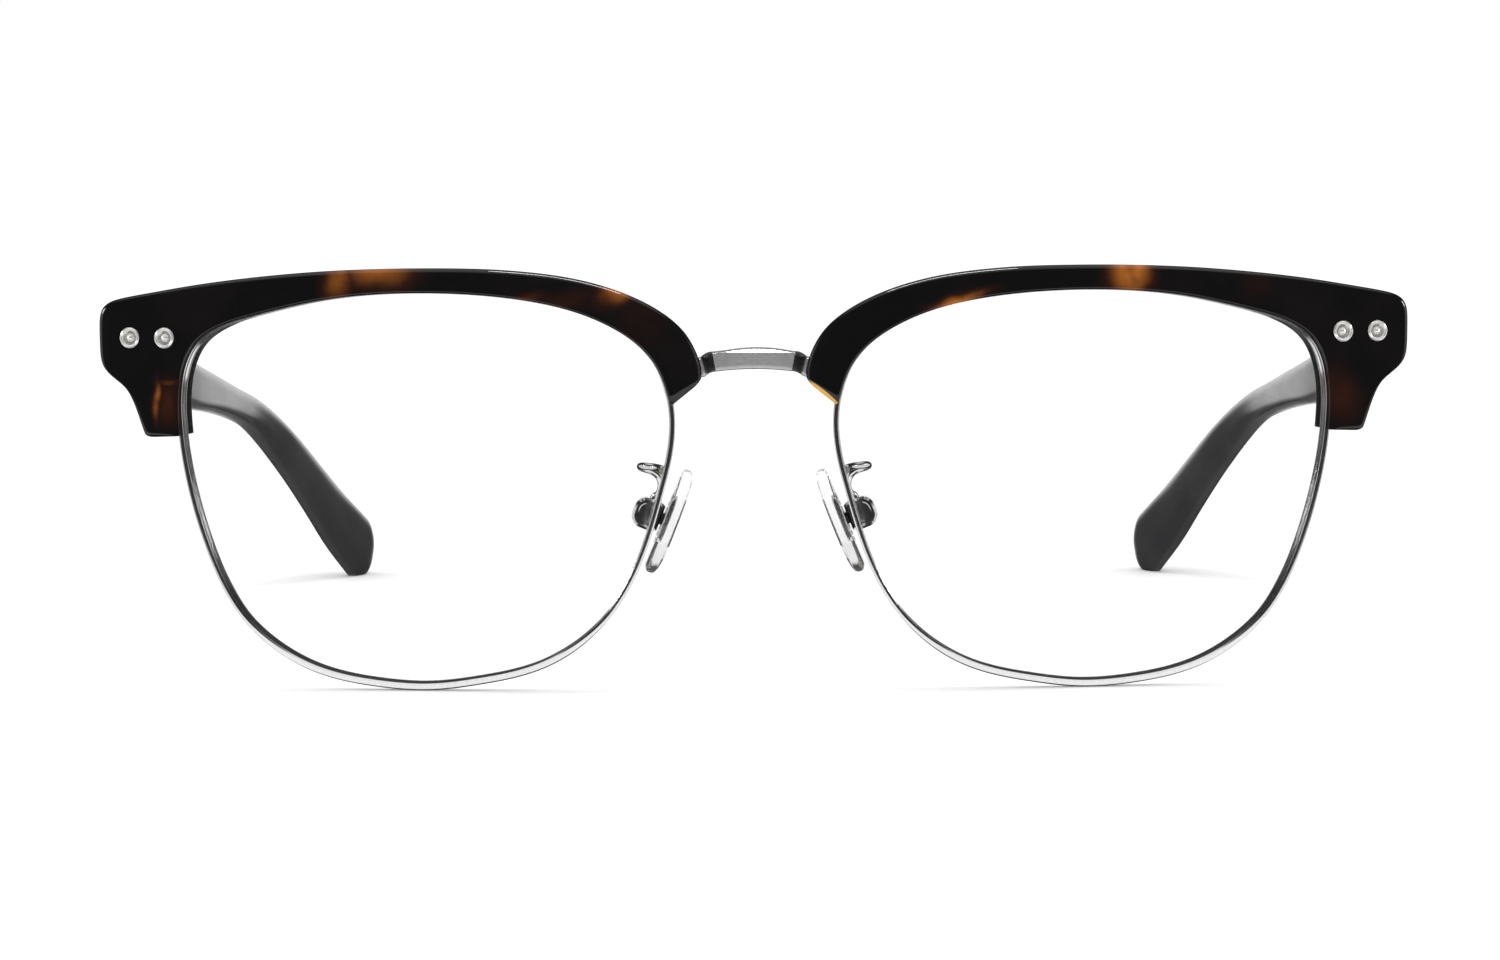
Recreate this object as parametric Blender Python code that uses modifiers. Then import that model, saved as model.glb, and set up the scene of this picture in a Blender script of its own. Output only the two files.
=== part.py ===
"""Half rim (browline) eyeglasses: acetate brow bars over thin metal eyewires, with hinged
acetate temples and adjustable silicone nose pads.

Lengths are in millimetres and become metres in the make_ functions. +X is the wearer's left,
the front faces -Y, +Z is up, and the glasses stand on z = 0 on both rims and both temple tips.

The front is laid out flat as (x, z) with a depth y behind the front face. wrap() then bends
that sheet round the lens curve. Everything is described for the +X side and mirrored.
"""

import math

import bmesh
import bpy
import numpy as np
from mathutils import Matrix, Vector

SIDES = ((1, "left"), (-1, "right"))

# Overall
FRONT_Y = -73.6          # front face of the brow bars, which centres the glasses on y = 0
DROP_Z = 0.074           # brings the lowest point of the rims to z = 0
CURVE_R = (140.0, 260.0)  # lens curve across and up the front
CURVE_X = 23.0           # the front is furthest forward here on each side
CURVE_Z = 35.5           # and at this height, so the rims lean back towards the floor
STRAIGHT_X = 60.0        # beyond this the front runs straight out to the end pieces

# Eyewire: the lens opening is a closed polar curve, (angle in degrees, radius)
LENS_CENTRE = (37.0, 23.0)
APERTURE = (
    (0, 26.93), (15, 28.96), (25, 30.46), (32, 30.63), (38, 29.45), (45, 27.41), (60, 24.27),
    (90, 21.91), (120, 24.17), (140, 27.82), (151, 29.33), (158, 29.28), (164, 28.78),
    (180, 26.49), (205, 25.16), (235, 24.10), (255, 22.71), (270, 22.62), (285, 23.05),
    (305, 24.67), (325, 25.71), (345, 25.95),
)
RIM_WALL = 0.6
RIM_FRONT = 1.05
RIM_BACK = 2.65
GROOVE = 0.3
RIM_STATIONS = 60

# Lens
LENS_FRONT = 0.95
LENS_BACK = 2.75
LENS_BEVEL = 0.24
LENS_GAP = 0.05

# Brow bar: outer edge points, each with the angle of the inner edge point facing it
BROW = (
    (5.88, 34.80, 162.0), (5.66, 35.65, 157.0), (5.82, 36.70, 153.0), (6.70, 39.00, 148.5),
    (8.15, 41.05, 144.5), (11.00, 43.20, 139.0), (15.10, 45.12, 132.5), (20.40, 46.58, 125.0),
    (27.70, 47.48, 114.0), (37.50, 47.73, 90.0), (47.50, 47.46, 66.0), (55.20, 46.85, 52.0),
    (62.20, 46.00, 42.0), (68.00, 45.03, 35.5), (71.60, 44.37, 31.5), (73.45, 43.88, 29.4),
    (74.20, 43.15, 27.6), (74.33, 42.10, 25.4), (74.31, 39.80, 22.4), (74.28, 37.80, 19.8),
    (74.08, 36.50, 17.8), (73.10, 35.62, 15.8), (71.50, 34.60, 13.8), (70.75, 33.40, 12.4),
    (70.00, 31.40, 12.2), (69.30, 29.20, 12.0), (69.05, 28.55, 11.6),
)
BROW_STATIONS = 42
BROW_DEPTH = 4.4
BROW_EDGE_R = 0.75
BROW_END_R = 0.5
LIP_R = 0.3
CHANNEL = (0.96, 2.76, 0.88)     # front, back and floor of the channel for the eyewire

# Bridge, in world x and z, with y behind the front plane
BRIDGE_FLAT = 4.45
BRIDGE_BEHIND = 5.75
BRIDGE_END = 10.9
BRIDGE_FRONT = 1.75
BRIDGE_THICK = 1.55
BRIDGE_TALL = 2.25
BRIDGE_Z = 37.30
BRIDGE_RISE = 0.45
BRIDGE_DIP = 0.5                 # how much lower the swept-back ends are
BRIDGE_SCREW = (8.3, 36.55)

# Closing block of the eyewire: (x, depth, z) of its middle
LOCK_AT = (67.1, 2.85, 32.0)

# Rivets of the end piece, as (x, z) on the flat front
RIVETS = ((66.57, 39.86), (70.60, 39.86))
RIVET_HEAD_R = 1.2
RIVET_SHANK_R = 0.65

# Hinge: the plate behind the end piece and the vertical barrels
PLATE_AT = (69.0, 39.5)
PLATE_GAP = 0.08
PLATE_THICK = 1.0
PLATE_X = (-4.0, 3.9)
PLATE_Z = (-3.3, 3.1)
HINGE_X = 67.8
HINGE_Y = 14.05
BARREL_R = 1.1
KNUCKLE_REACH = 1.9
PIN_R = 0.5
PIN_GAP = 0.06
KNUCKLES = ((36.2, 37.75), (37.82, 39.38), (39.45, 41.0))

# Temple: (y, z, x of its centre line, height, thickness, corner rounding across and up)
TEMPLE = (
    (14.3, 39.15, 71.30, 7.40, 4.10, 1.0, 1.0), (22.0, 37.55, 71.30, 7.15, 4.10, 1.0, 1.0),
    (30.0, 35.95, 71.20, 6.70, 4.00, 1.1, 1.2), (40.0, 34.05, 70.55, 6.20, 3.80, 1.2, 1.4),
    (52.0, 32.15, 69.60, 5.65, 3.60, 1.3, 1.6), (68.0, 30.20, 68.65, 4.75, 3.40, 1.4, 1.7),
    (84.0, 28.05, 67.80, 4.20, 3.30, 1.4, 1.7), (95.0, 26.20, 66.95, 4.40, 3.25, 1.4, 1.8),
    (104.0, 23.30, 65.50, 5.30, 3.25, 1.4, 2.2), (113.0, 19.20, 63.55, 6.30, 3.25, 1.4, 2.6),
    (124.0, 13.75, 61.35, 7.30, 3.35, 1.4, 2.9), (134.0, 8.60, 59.30, 8.40, 3.50, 1.4, 3.2),
    (143.0, 4.02, 57.00, 9.20, 3.50, 1.4, 3.4),
)
TEMPLE_STATIONS = 28
TEMPLE_TIP = 4.2
TEMPLE_GAP = 0.10
BORE = (1.5, 2.6)
BORE_AT = (0.03, 0.80, 14)      # first and last section of the bore, and how many
WIRE = (1.2, 2.3)
LEAF = (15.3, 26.4, 68.40, 69.17, 4.4)
TEMPLE_RIVETS = (19.0, 23.6)
TEMPLE_HEAD = (72.9, 73.35)      # x of the rivets' seat and of their heads' middle

# Nose pad, its arm and its box. The pad frame is (along, across, away from the nose)
PAD_AT = (9.65, 10.2, 18.45)
PAD_LEAN = 21.7
PAD_SPLAY = 3.0
PAD_HALF = (6.25, 3.6)
PAD_THICK = 1.75
POCKET = (2.85, 1.5)
POCKET_DEPTH = 0.75
POCKET_GAP = 0.05
TONGUE = (0.65, 0.75)               # end radius and half thickness
PIVOT_OUT = 2.1
BOX = (1.50, 1.30, 1.15, 4.10)      # half length, half width, near side and far side
BOX_WALL = 0.35
ARM_R = 0.42
ARM_END = 2.7                       # the arm meets the box this far out
ARM = (
    (10.30, 3.52, 24.75), (10.35, 4.50, 24.85), (11.20, 5.80, 24.98), (12.35, 6.60, 25.05),
    (12.95, 7.50, 24.98), (12.65, 8.45, 24.65), (11.80, 9.00, 24.15), (11.00, 9.25, 23.30),
    (10.75, 9.45, 22.35), (11.00, 9.75, 21.45),
)


# ---------------------------------------------------------------- curves
def periodic_spline(knots, turn):
    """A closed smooth curve r(angle) through the knots, as a function."""
    x = np.array([k[0] for k in knots], float)
    y = np.array([k[1] for k in knots], float)
    n = len(x)
    h = np.append(np.diff(x), x[0] + turn - x[-1])
    lhs = np.zeros((n, n))
    rhs = np.zeros(n)
    for i in range(n):
        before, after, j = h[i - 1], h[i], (i + 1) % n
        lhs[i, i - 1] += before
        lhs[i, i] += 2 * (before + after)
        lhs[i, j] += after
        rhs[i] = 6 * ((y[j] - y[i]) / after - (y[i] - y[i - 1]) / before)
    bend = np.linalg.solve(lhs, rhs)

    def value(at):
        at = (at - x[0]) % turn + x[0]
        i = int(np.searchsorted(x, at, side="right")) - 1
        j = (i + 1) % n
        t, w = at - x[i], h[i]
        slope = (y[j] - y[i]) / w - w * (2 * bend[i] + bend[j]) / 6
        return y[i] + t * slope + t * t * bend[i] / 2 + t**3 * (bend[j] - bend[i]) / (6 * w)

    return value


def open_curve(points, count):
    """count points evenly along a centripetal curve through the given ones (any dimension)."""
    p = np.array(points, float)
    p = np.vstack([2 * p[0] - p[1], p, 2 * p[-1] - p[-2]])
    fine = []
    for i in range(1, len(p) - 2):
        a, b, c, d = p[i - 1 : i + 3]
        t0 = 0.0
        t1 = t0 + np.linalg.norm(b - a) ** 0.5
        t2 = t1 + np.linalg.norm(c - b) ** 0.5
        t3 = t2 + np.linalg.norm(d - c) ** 0.5
        for t in np.linspace(t1, t2, 24, endpoint=False):
            ab = ((t1 - t) * a + (t - t0) * b) / (t1 - t0)
            bc = ((t2 - t) * b + (t - t1) * c) / (t2 - t1)
            cd = ((t3 - t) * c + (t - t2) * d) / (t3 - t2)
            abc = ((t2 - t) * ab + (t - t0) * bc) / (t2 - t0)
            bcd = ((t3 - t) * bc + (t - t1) * cd) / (t3 - t1)
            fine.append(((t2 - t) * abc + (t - t1) * bcd) / (t2 - t1))
    fine.append(p[-2])
    fine = np.array(fine)
    run = np.append(0, np.cumsum(np.linalg.norm(np.diff(fine, axis=0), axis=1)))
    at = np.linspace(0, run[-1], count)
    return np.array([np.interp(at, run, fine[:, k]) for k in range(fine.shape[1])]).T.tolist()


aperture_radius = periodic_spline(APERTURE, 360.0)


def aperture(angle, out=0.0):
    """The lens opening's edge at this angle, moved outwards by out."""

    def at(a):
        r = aperture_radius(a)
        turn = math.radians(a)
        return Vector((LENS_CENTRE[0] + r * math.cos(turn), LENS_CENTRE[1] + r * math.sin(turn)))

    along = (at(angle + 0.5) - at(angle - 0.5)).normalized()
    return at(angle) + out * Vector((along.y, -along.x))


def even_angles(count):
    """Angles whose points lie evenly spaced round the lens opening."""
    fine = np.linspace(0, 360, 1441)
    p = np.array([aperture(a) for a in fine])
    run = np.append(0, np.cumsum(np.linalg.norm(np.diff(p, axis=0), axis=1)))
    return np.interp(np.linspace(0, run[-1], count, endpoint=False), run, fine).tolist()


# ---------------------------------------------------------------- placing
def slope_at(x, z):
    return (min(x, STRAIGHT_X) - CURVE_X) / CURVE_R[0], (z - CURVE_Z) / CURVE_R[1]


def back_normal(x, z):
    sx, sz = slope_at(x, z)
    return Vector((-sx, 1, -sz)).normalized()


def wrap(x, y, z):
    """A point of the flat front, y deep, on the bent front."""
    near = min(x, STRAIGHT_X) - CURVE_X
    back = near**2 / (2 * CURVE_R[0]) + (z - CURVE_Z) ** 2 / (2 * CURVE_R[1])
    back += max(x - STRAIGHT_X, 0) * (STRAIGHT_X - CURVE_X) / CURVE_R[0]
    return Vector((x, back + FRONT_Y, z + DROP_Z)) + y * back_normal(x, z)


def front_frame(x, y, z):
    """A matrix whose axes are along the front, into its depth and up it, at (x, z)."""
    n = back_normal(x, z)
    up = (Vector((0, 0, 1)) - n.z * n).normalized()
    across = n.cross(up)
    return frame(wrap(x, y, z), across, n, up)


def frame(at, i, j, k):
    m = Matrix((i, j, k)).transposed().to_4x4()
    m.translation = at
    return m


# ---------------------------------------------------------------- meshes
def loft(rings, closed=False):
    """A bmesh skin over rings of equal length, capped unless closed."""
    bm = bmesh.new()
    rows = [[bm.verts.new(p) for p in ring] for ring in rings]
    pairs = list(zip(rows, rows[1:]))
    if closed:
        pairs.append((rows[-1], rows[0]))
    else:
        bm.faces.new(reversed(rows[0]))
        bm.faces.new(rows[-1])
    for low, high in pairs:
        for k in range(len(low)):
            m = (k + 1) % len(low)
            bm.faces.new((low[k], low[m], high[m], high[k]))
    bmesh.ops.recalc_face_normals(bm, faces=bm.faces)
    return bm


def prism(plan, low, high, place):
    """A flat outline in the xy plane of place, extruded along its z axis."""
    bm = bmesh.new()
    face = bm.faces.new([bm.verts.new((x, y, low)) for x, y in plan])
    side = bmesh.ops.extrude_face_region(bm, geom=[face])["geom"]
    top = [item for item in side if isinstance(item, bmesh.types.BMVert)]
    bmesh.ops.translate(bm, verts=top, vec=(0, 0, high - low))
    bm.transform(place)
    bmesh.ops.recalc_face_normals(bm, faces=bm.faces)
    return bm


def box(low, high, place=None):
    """A box between two corners, moved by the matrix place."""
    bm = bmesh.new()
    low, high = Vector(low), Vector(high)
    spread = Matrix.Translation((low + high) / 2) @ Matrix.Diagonal((*(high - low), 1))
    bmesh.ops.create_cube(bm, size=1, matrix=(place or Matrix()) @ spread)
    return bm


def rod(radius, low, high, place, count=14):
    """A cylinder along the z axis of place."""
    bm = bmesh.new()
    middle = place @ Matrix.Translation((0, 0, (low + high) / 2))
    bmesh.ops.create_cone(bm, cap_ends=True, segments=count, radius1=radius, radius2=radius,
                          depth=high - low, matrix=middle)
    return bm


def wrapped(bm):
    """Bends a shape of the flat front with it."""
    for vert in bm.verts:
        vert.co = wrap(*vert.co)
    return bm


def rounded_rect(wide, tall, rx, ry, per_corner=3):
    """A rectangle round the origin with elliptical corners, anticlockwise."""
    out = []
    for k, (sx, sy) in enumerate(((1, 1), (-1, 1), (-1, -1), (1, -1))):
        for i in range(per_corner):
            a = math.radians(90 * k + 90 * i / (per_corner - 1))
            cx, cy = sx * (wide / 2 - rx), sy * (tall / 2 - ry)
            out.append((cx + rx * math.cos(a), cy + ry * math.sin(a)))
    return out


# ---------------------------------------------------------------- objects
def clear_scene():
    for obj in list(bpy.data.objects):
        bpy.data.objects.remove(obj)


def make_material(name, colour, metallic, rough, see_through=0.0, ior=1.45):
    mat = bpy.data.materials.new(name)
    mat.use_nodes = True
    shader = mat.node_tree.nodes["Principled BSDF"]
    shader.inputs["Base Color"].default_value = (*colour, 1)
    shader.inputs["Metallic"].default_value = metallic
    shader.inputs["Roughness"].default_value = rough
    shader.inputs["Transmission Weight"].default_value = see_through
    shader.inputs["IOR"].default_value = ior
    mat.diffuse_color = (*colour, 1 - 0.65 * see_through)
    return mat


def add_object(name, data, mat, parent):
    """Puts an object in the parts' collection, or in the cutters' when it has no material."""
    obj = bpy.data.objects.new(name, data)
    if mat:
        data.materials.append(mat)
        bpy.data.collections["browline_glasses"].objects.link(obj)
    else:
        obj.hide_render = True
        obj.display_type = "WIRE"
        bpy.data.collections["cutters"].objects.link(obj)
    if parent:
        obj.parent = parent
        obj.matrix_parent_inverse = Matrix.Translation(-parent.location)
    return obj


def make_axis(name, at, side):
    """An empty on a joint's axis, the parent of all that turns about it."""
    empty = bpy.data.objects.new(name, None)
    empty.empty_display_size = 0.004
    empty.location = Vector((side * at.x, at.y, at.z)) / 1000
    bpy.data.collections["browline_glasses"].objects.link(empty)
    return empty


def make_object(name, bm, side, mat=None, parent=None, angle=35):
    """An object from a bmesh in mm, mirrored for side -1. Without a material it is a cutter."""
    bm.transform(Matrix.Diagonal((side / 1000, 1 / 1000, 1 / 1000, 1)))
    if side < 0:
        bmesh.ops.reverse_faces(bm, faces=bm.faces)
    mesh = bpy.data.meshes.new(name)
    bm.to_mesh(mesh)
    bm.free()
    mesh.shade_smooth()
    mesh.set_sharp_from_angle(angle=math.radians(angle))
    return add_object(name, mesh, mat, parent)


def make_turned(name, profile, place, side, mat=None, parent=None, count=14):
    """A (radius, height) profile, listed upwards, turned about the z axis of place."""
    points = [(r / 1000, 0, h / 1000) for r, h in reversed(profile)]
    mesh = bpy.data.meshes.new(name)
    mesh.from_pydata(points, [(k, k + 1) for k in range(len(points) - 1)], [])
    obj = add_object(name, mesh, mat, parent)
    flip = Matrix.Diagonal((side, 1, 1, 1))
    local = place.copy()
    local.translation /= 1000
    obj.matrix_basis = flip @ local @ flip
    turn = obj.modifiers.new("turn", "SCREW")
    turn.steps = count
    turn.render_steps = count
    turn.use_merge_vertices = True
    turn.merge_threshold = 0.00001
    return obj


def make_wire(name, points, radius, side, mat):
    """A round wire through points in mm."""
    curve = bpy.data.curves.new(name, "CURVE")
    curve.dimensions = "3D"
    curve.bevel_depth = radius / 1000
    curve.bevel_resolution = 2
    curve.use_fill_caps = True
    line = curve.splines.new("POLY")
    line.points.add(len(points) - 1)
    for spot, p in zip(line.points, points):
        spot.co = (side * p[0] / 1000, p[1] / 1000, p[2] / 1000, 1)
    return add_object(name, curve, mat, None)


def change(obj, operation, tool):
    """Joins a helper to obj or cuts it out."""
    step = obj.modifiers.new(f"{operation.lower()}_{tool.name}", "BOOLEAN")
    step.operation = operation
    step.solver = "EXACT"
    step.object = tool


# ---------------------------------------------------------------- the front
def eyewire():
    half = (RIM_BACK - RIM_FRONT) / 2
    mid = (RIM_FRONT + RIM_BACK) / 2
    section = (
        (0, -half), (RIM_WALL - 0.12, -half), (RIM_WALL, -half + 0.12), (RIM_WALL, half - 0.12),
        (RIM_WALL - 0.12, half), (0, half), (0, 0.35), (GROOVE, 0), (0, -0.35),
    )
    rings = []
    for a in even_angles(RIM_STATIONS):
        rings.append([])
        for out, y in section:
            p = aperture(a, out)
            rings[-1].append(wrap(p.x, mid + y, p.y))
    return loft(rings, closed=True)


def lens():
    """Both faces as rings of the opening's outline, joined by a V bevel that sits in the groove."""
    bm = bmesh.new()
    mid = (LENS_FRONT + LENS_BACK) / 2
    rows = [(s, 0, LENS_FRONT) for s in (0.33, 0.67)] + [(1, -LENS_GAP - 0.02, LENS_FRONT)]
    rows += [(1, -LENS_GAP - 0.02, mid - 0.33), (1, LENS_BEVEL - 0.02, mid)]
    rows += [(1, -LENS_GAP - 0.02, mid + 0.33), (1, -LENS_GAP - 0.02, LENS_BACK)]
    rows += [(s, 0, LENS_BACK) for s in (0.67, 0.33)]
    angles = even_angles(RIM_STATIONS)
    rings = []
    for scale, out, y in rows:
        rings.append([])
        for a in angles:
            p = aperture(a, out)
            x = LENS_CENTRE[0] + scale * (p.x - LENS_CENTRE[0])
            z = LENS_CENTRE[1] + scale * (p.y - LENS_CENTRE[1])
            rings[-1].append(bm.verts.new(wrap(x, y, z)))
    for low, high in zip(rings, rings[1:]):
        for k in range(len(low)):
            bm.faces.new((low[k - 1], low[k], high[k], high[k - 1]))
    for ring, y in ((rings[0], LENS_FRONT), (rings[-1], LENS_BACK)):
        centre = bm.verts.new(wrap(LENS_CENTRE[0], y, LENS_CENTRE[1]))
        for k in range(len(ring)):
            bm.faces.new((ring[k - 1], ring[k], centre))
    bmesh.ops.recalc_face_normals(bm, faces=bm.faces)
    return bm


def brow_ring(outer, inner, inset):
    """The section between an outer and an inner edge point. inset shrinks it for a rounded end."""
    span = inner - outer
    wide = span.length
    along = span / wide
    r, d = BROW_EDGE_R, BROW_DEPTH
    lip_front, lip_back, floor = CHANNEL
    e, f = inset, LIP_R
    front, back = e, d - e
    rows = (
        (e, r + e), (e + 0.29 * r, 0.29 * r + e), (e + r, front), (0.5 * wide, front),
        (wide - e - f, front), (wide - e, front + f), (wide - e, lip_front),
        (wide - floor, lip_front), (wide - floor, lip_back), (wide - e, lip_back),
        (wide - e, back - f), (wide - e - f, back), (0.5 * wide, back), (e + r, back),
        (e + 0.29 * r, back - 0.29 * r), (e, back - r),
    )
    ring = []
    for run, y in rows:
        p = outer + run * along
        ring.append(wrap(p.x, y, p.y))
    return ring


def brow_edges():
    """The matched outer and inner edge points, nasal end first."""
    rows = open_curve([(x, z, a / 4) for x, z, a in BROW], BROW_STATIONS)
    return [(Vector(row[:2]), aperture(row[2] * 4)) for row in rows]


def brow_end(pairs, fractions):
    """The rounded end's sections, over the first step of pairs."""
    rings = []
    for t in fractions:
        outer = pairs[0][0].lerp(pairs[1][0], t)
        inner = pairs[0][1].lerp(pairs[1][1], t)
        rings.append(brow_ring(outer, inner, BROW_END_R * (1 - math.sqrt(t))))
    return rings


def brow_bar():
    pairs = brow_edges()
    rings = brow_end(pairs, (0.0, 0.4, 0.8))
    rings += [brow_ring(outer, inner, 0) for outer, inner in pairs[1:-1]]
    rings += reversed(brow_end(pairs[::-1], (0.0, 0.35, 0.7)))
    return loft(rings)


def bridge_ring(x):
    """The bridge's section at x: flat in front, then swept back behind the brow bars."""
    back = wrap(max(abs(x), BRIDGE_BEHIND), RIM_BACK + 0.16, BRIDGE_Z).y
    t = min(max((abs(x) - BRIDGE_FLAT) / (BRIDGE_BEHIND - BRIDGE_FLAT), 0), 1)
    front = FRONT_Y + BRIDGE_FRONT + (back - FRONT_Y - BRIDGE_FRONT) * t * t * (3 - 2 * t)
    z = BRIDGE_Z + DROP_Z + BRIDGE_RISE * (0.5 - (min(abs(x), 6.5) / BRIDGE_BEHIND) ** 2)
    z -= BRIDGE_DIP * t * t
    tall, thick, c = BRIDGE_TALL / 2, BRIDGE_THICK, 0.22
    rows = ((-tall, c), (-tall + c, 0), (tall - c, 0), (tall, c),
            (tall, thick - c), (tall - c, thick), (-tall + c, thick), (-tall, thick - c))
    return [Vector((x, front + y, z + up)) for up, y in rows]


def bridge():
    half = [0, 1.1, 2.2, 3.3, BRIDGE_FLAT - 0.02, BRIDGE_FLAT + 0.2]
    half += [4.85, 5.05, 5.25, 5.5, BRIDGE_BEHIND, 6.2, 6.8, 8.2, 9.6, BRIDGE_END]
    xs = [-x for x in reversed(half[1:])] + half
    return loft([bridge_ring(x) for x in xs])


# ---------------------------------------------------------------- the temples
class Path:
    """The temple's centre line, with its height and thickness."""

    def __init__(self):
        rows = open_curve(TEMPLE, 400)
        self.at_all = [Vector((r[2], r[0] + FRONT_Y, r[1])) for r in rows]
        self.size_all = [(r[4], r[3], r[5], r[6]) for r in rows]

    def share(self, y):
        """The share of the path's length at which it is y behind the front."""
        return float(np.interp(y + FRONT_Y, [p.y for p in self.at_all], np.linspace(0, 1, 400)))

    def at(self, t):
        """The point, directions and size at this share of the length."""
        i = min(int(t * 399), 398)
        w = t * 399 - i
        here = self.at_all[i].lerp(self.at_all[i + 1], w)
        size = [(1 - w) * a + w * b for a, b in zip(self.size_all[i], self.size_all[i + 1])]
        low, high = max(i - 3, 0), min(i + 4, 399)
        along = (self.at_all[high] - self.at_all[low]).normalized()
        up = (Vector((0, 0, 1)) - along.z * along).normalized()
        return here, along, up.cross(along) * -1, up, size

    def ring(self, t, section):
        here, _, across, up, _ = self.at(t)
        return [here + x * across + z * up for x, z in section]


def butt_y(p, gap):
    """y of the temple's mitred front end, which follows the hinge plate's back."""
    m = front_frame(PLATE_AT[0], BROW_DEPTH + PLATE_GAP + PLATE_THICK + gap, PLATE_AT[1])
    n = m.col[1].to_3d()
    return ((m.translation - p).dot(n)) / n.y + p.y


def on_butt(ring, gap):
    return [Vector((p.x, butt_y(p, gap), p.z)) for p in ring]


def temple(path):
    outside, inside = [], []
    ts = np.linspace(0, 1, TEMPLE_STATIONS).tolist()
    for t in ts[1:]:
        outside.append(path.ring(t, rounded_rect(*path.at(t)[4])))
    wide, tall, rx, ry = path.at(0)[4]
    mouth = path.ring(0.0, rounded_rect(wide, tall, rx, ry))
    face = path.ring(0.0, rounded_rect(wide - 0.5, tall - 0.5, rx - 0.2, ry - 0.2))
    shoulder = [p + Vector((0, 0.25, 0)) for p in on_butt(mouth, TEMPLE_GAP)]
    here, along, across, up, (wide, tall, rx, ry) = path.at(1)
    tip = []
    for a in (25, 47, 66, 80):
        s = math.radians(a)
        thin, low = math.cos(s) ** 0.5, math.cos(s)
        section = rounded_rect(wide * thin, tall * low, rx * thin, ry * low)
        go = TEMPLE_TIP * math.sin(s)
        tip.append([here + go * along + x * across + z * up for x, z in section])
    bore = rounded_rect(*BORE, 0.3, 0.3)
    inside.append(on_butt(path.ring(0.0, bore), TEMPLE_GAP))
    for t in np.linspace(*BORE_AT).tolist():
        inside.append(path.ring(t, bore))
    rings = list(reversed(inside)) + [on_butt(face, TEMPLE_GAP), shoulder] + outside + tip
    bm = loft(rings)
    for vert in bm.verts:
        vert.co.z = max(vert.co.z, 0)
    return bm


def core_wire(path):
    """The stiffening wire, on the bore's own sections behind the hinge rivets."""
    rings = []
    for t in np.linspace(*BORE_AT).tolist()[2:-1]:
        rings.append(path.ring(t, rounded_rect(*WIRE, 0.25, 0.25, per_corner=2)))
    return loft(rings)


# ---------------------------------------------------------------- the nose pads
def pad_frame():
    """Axes along the pad, across it towards the back, and away from the nose."""
    lean, splay = math.radians(PAD_LEAN), math.radians(PAD_SPLAY)
    along = Vector((math.sin(lean), 0, -math.cos(lean)))
    away = Vector((math.cos(lean) * math.cos(splay), -math.sin(splay),
                   math.sin(lean) * math.cos(splay))).normalized()
    across = away.cross(along).normalized()
    return frame(Vector(PAD_AT) + Vector((0, FRONT_Y, DROP_Z)), along, across, away)


def pad_outline(scale_x, scale_y, count=22):
    """A blunt egg shape, narrower towards the top."""
    out = []
    for k in range(count):
        a = 2 * math.pi * k / count
        c, s = math.cos(a), math.sin(a)
        x, y = (math.copysign(abs(v) ** 0.85, v) for v in (c, s))
        out.append((scale_x * x, scale_y * y * (1 + 0.16 * c)))
    return out


def nose_pad(place):
    """A domed pad with a pocket in its back for the insert."""
    half = PAD_THICK / 2
    rows = ((0.4, -half), (0.75, -half + 0.08), (0.93, -half + 0.33), (1.0, 0),
            (0.97, half - 0.3), (0.86, half))
    rings = []
    for scale, h in rows:
        outline = pad_outline(PAD_HALF[0] * scale, PAD_HALF[1] * scale)
        rings.append([place @ Vector((x, y, h)) for x, y in outline])
    for h in (half, half - POCKET_DEPTH):
        outline = pad_outline(*POCKET)
        rings.append([place @ Vector((x, y, h)) for x, y in outline])
    return loft(rings)


def pad_insert(place):
    half = PAD_THICK / 2
    plan = pad_outline(POCKET[0] - POCKET_GAP, POCKET[1] - POCKET_GAP)
    return prism(plan, half - POCKET_DEPTH + POCKET_GAP, half - POCKET_GAP, place)


def tongue(place):
    """The insert's lug, with a round end about the pivot."""
    plan = [(-TONGUE[0], -PAD_THICK / 2 + 0.3), (TONGUE[0], -PAD_THICK / 2 + 0.3)]
    for k in range(9):
        a = math.radians(180 * k / 8)
        plan.append((TONGUE[0] * math.cos(a), -PIVOT_OUT - TONGUE[0] * math.sin(a)))
    return prism(plan, -TONGUE[1], TONGUE[1], place @ Matrix.Rotation(math.radians(-90), 4, "X"))


def pivot_frame(place):
    """Axes at the pad's pivot with z along its screw."""
    turn = Matrix.Rotation(math.radians(-90), 4, "X")
    return place @ Matrix.Translation((0, 0, PIVOT_OUT)) @ turn


# ---------------------------------------------------------------- assembly
def bridge_screw_frame():
    """At a screw through the bridge's end, with z into the depth of the front."""
    at = Vector((BRIDGE_SCREW[0], FRONT_Y, BRIDGE_SCREW[1] + DROP_Z))
    return Matrix.Translation(at) @ Matrix.Rotation(math.radians(-90), 4, "X")


def rivet_frame(x, z):
    """On the face of the front at (x, z), with z into its depth."""
    return front_frame(x, 0, z) @ Matrix.Rotation(math.radians(-90), 4, "X")


def build_bridge(mats):
    bar = make_object("bridge", bridge(), 1, mats["silver"], angle=25)
    for side, tag in SIDES:
        hole = rod(0.5, 2, 9, bridge_screw_frame())
        change(bar, "DIFFERENCE", make_object(f"bridge_hole_{tag}", hole, side))


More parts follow.
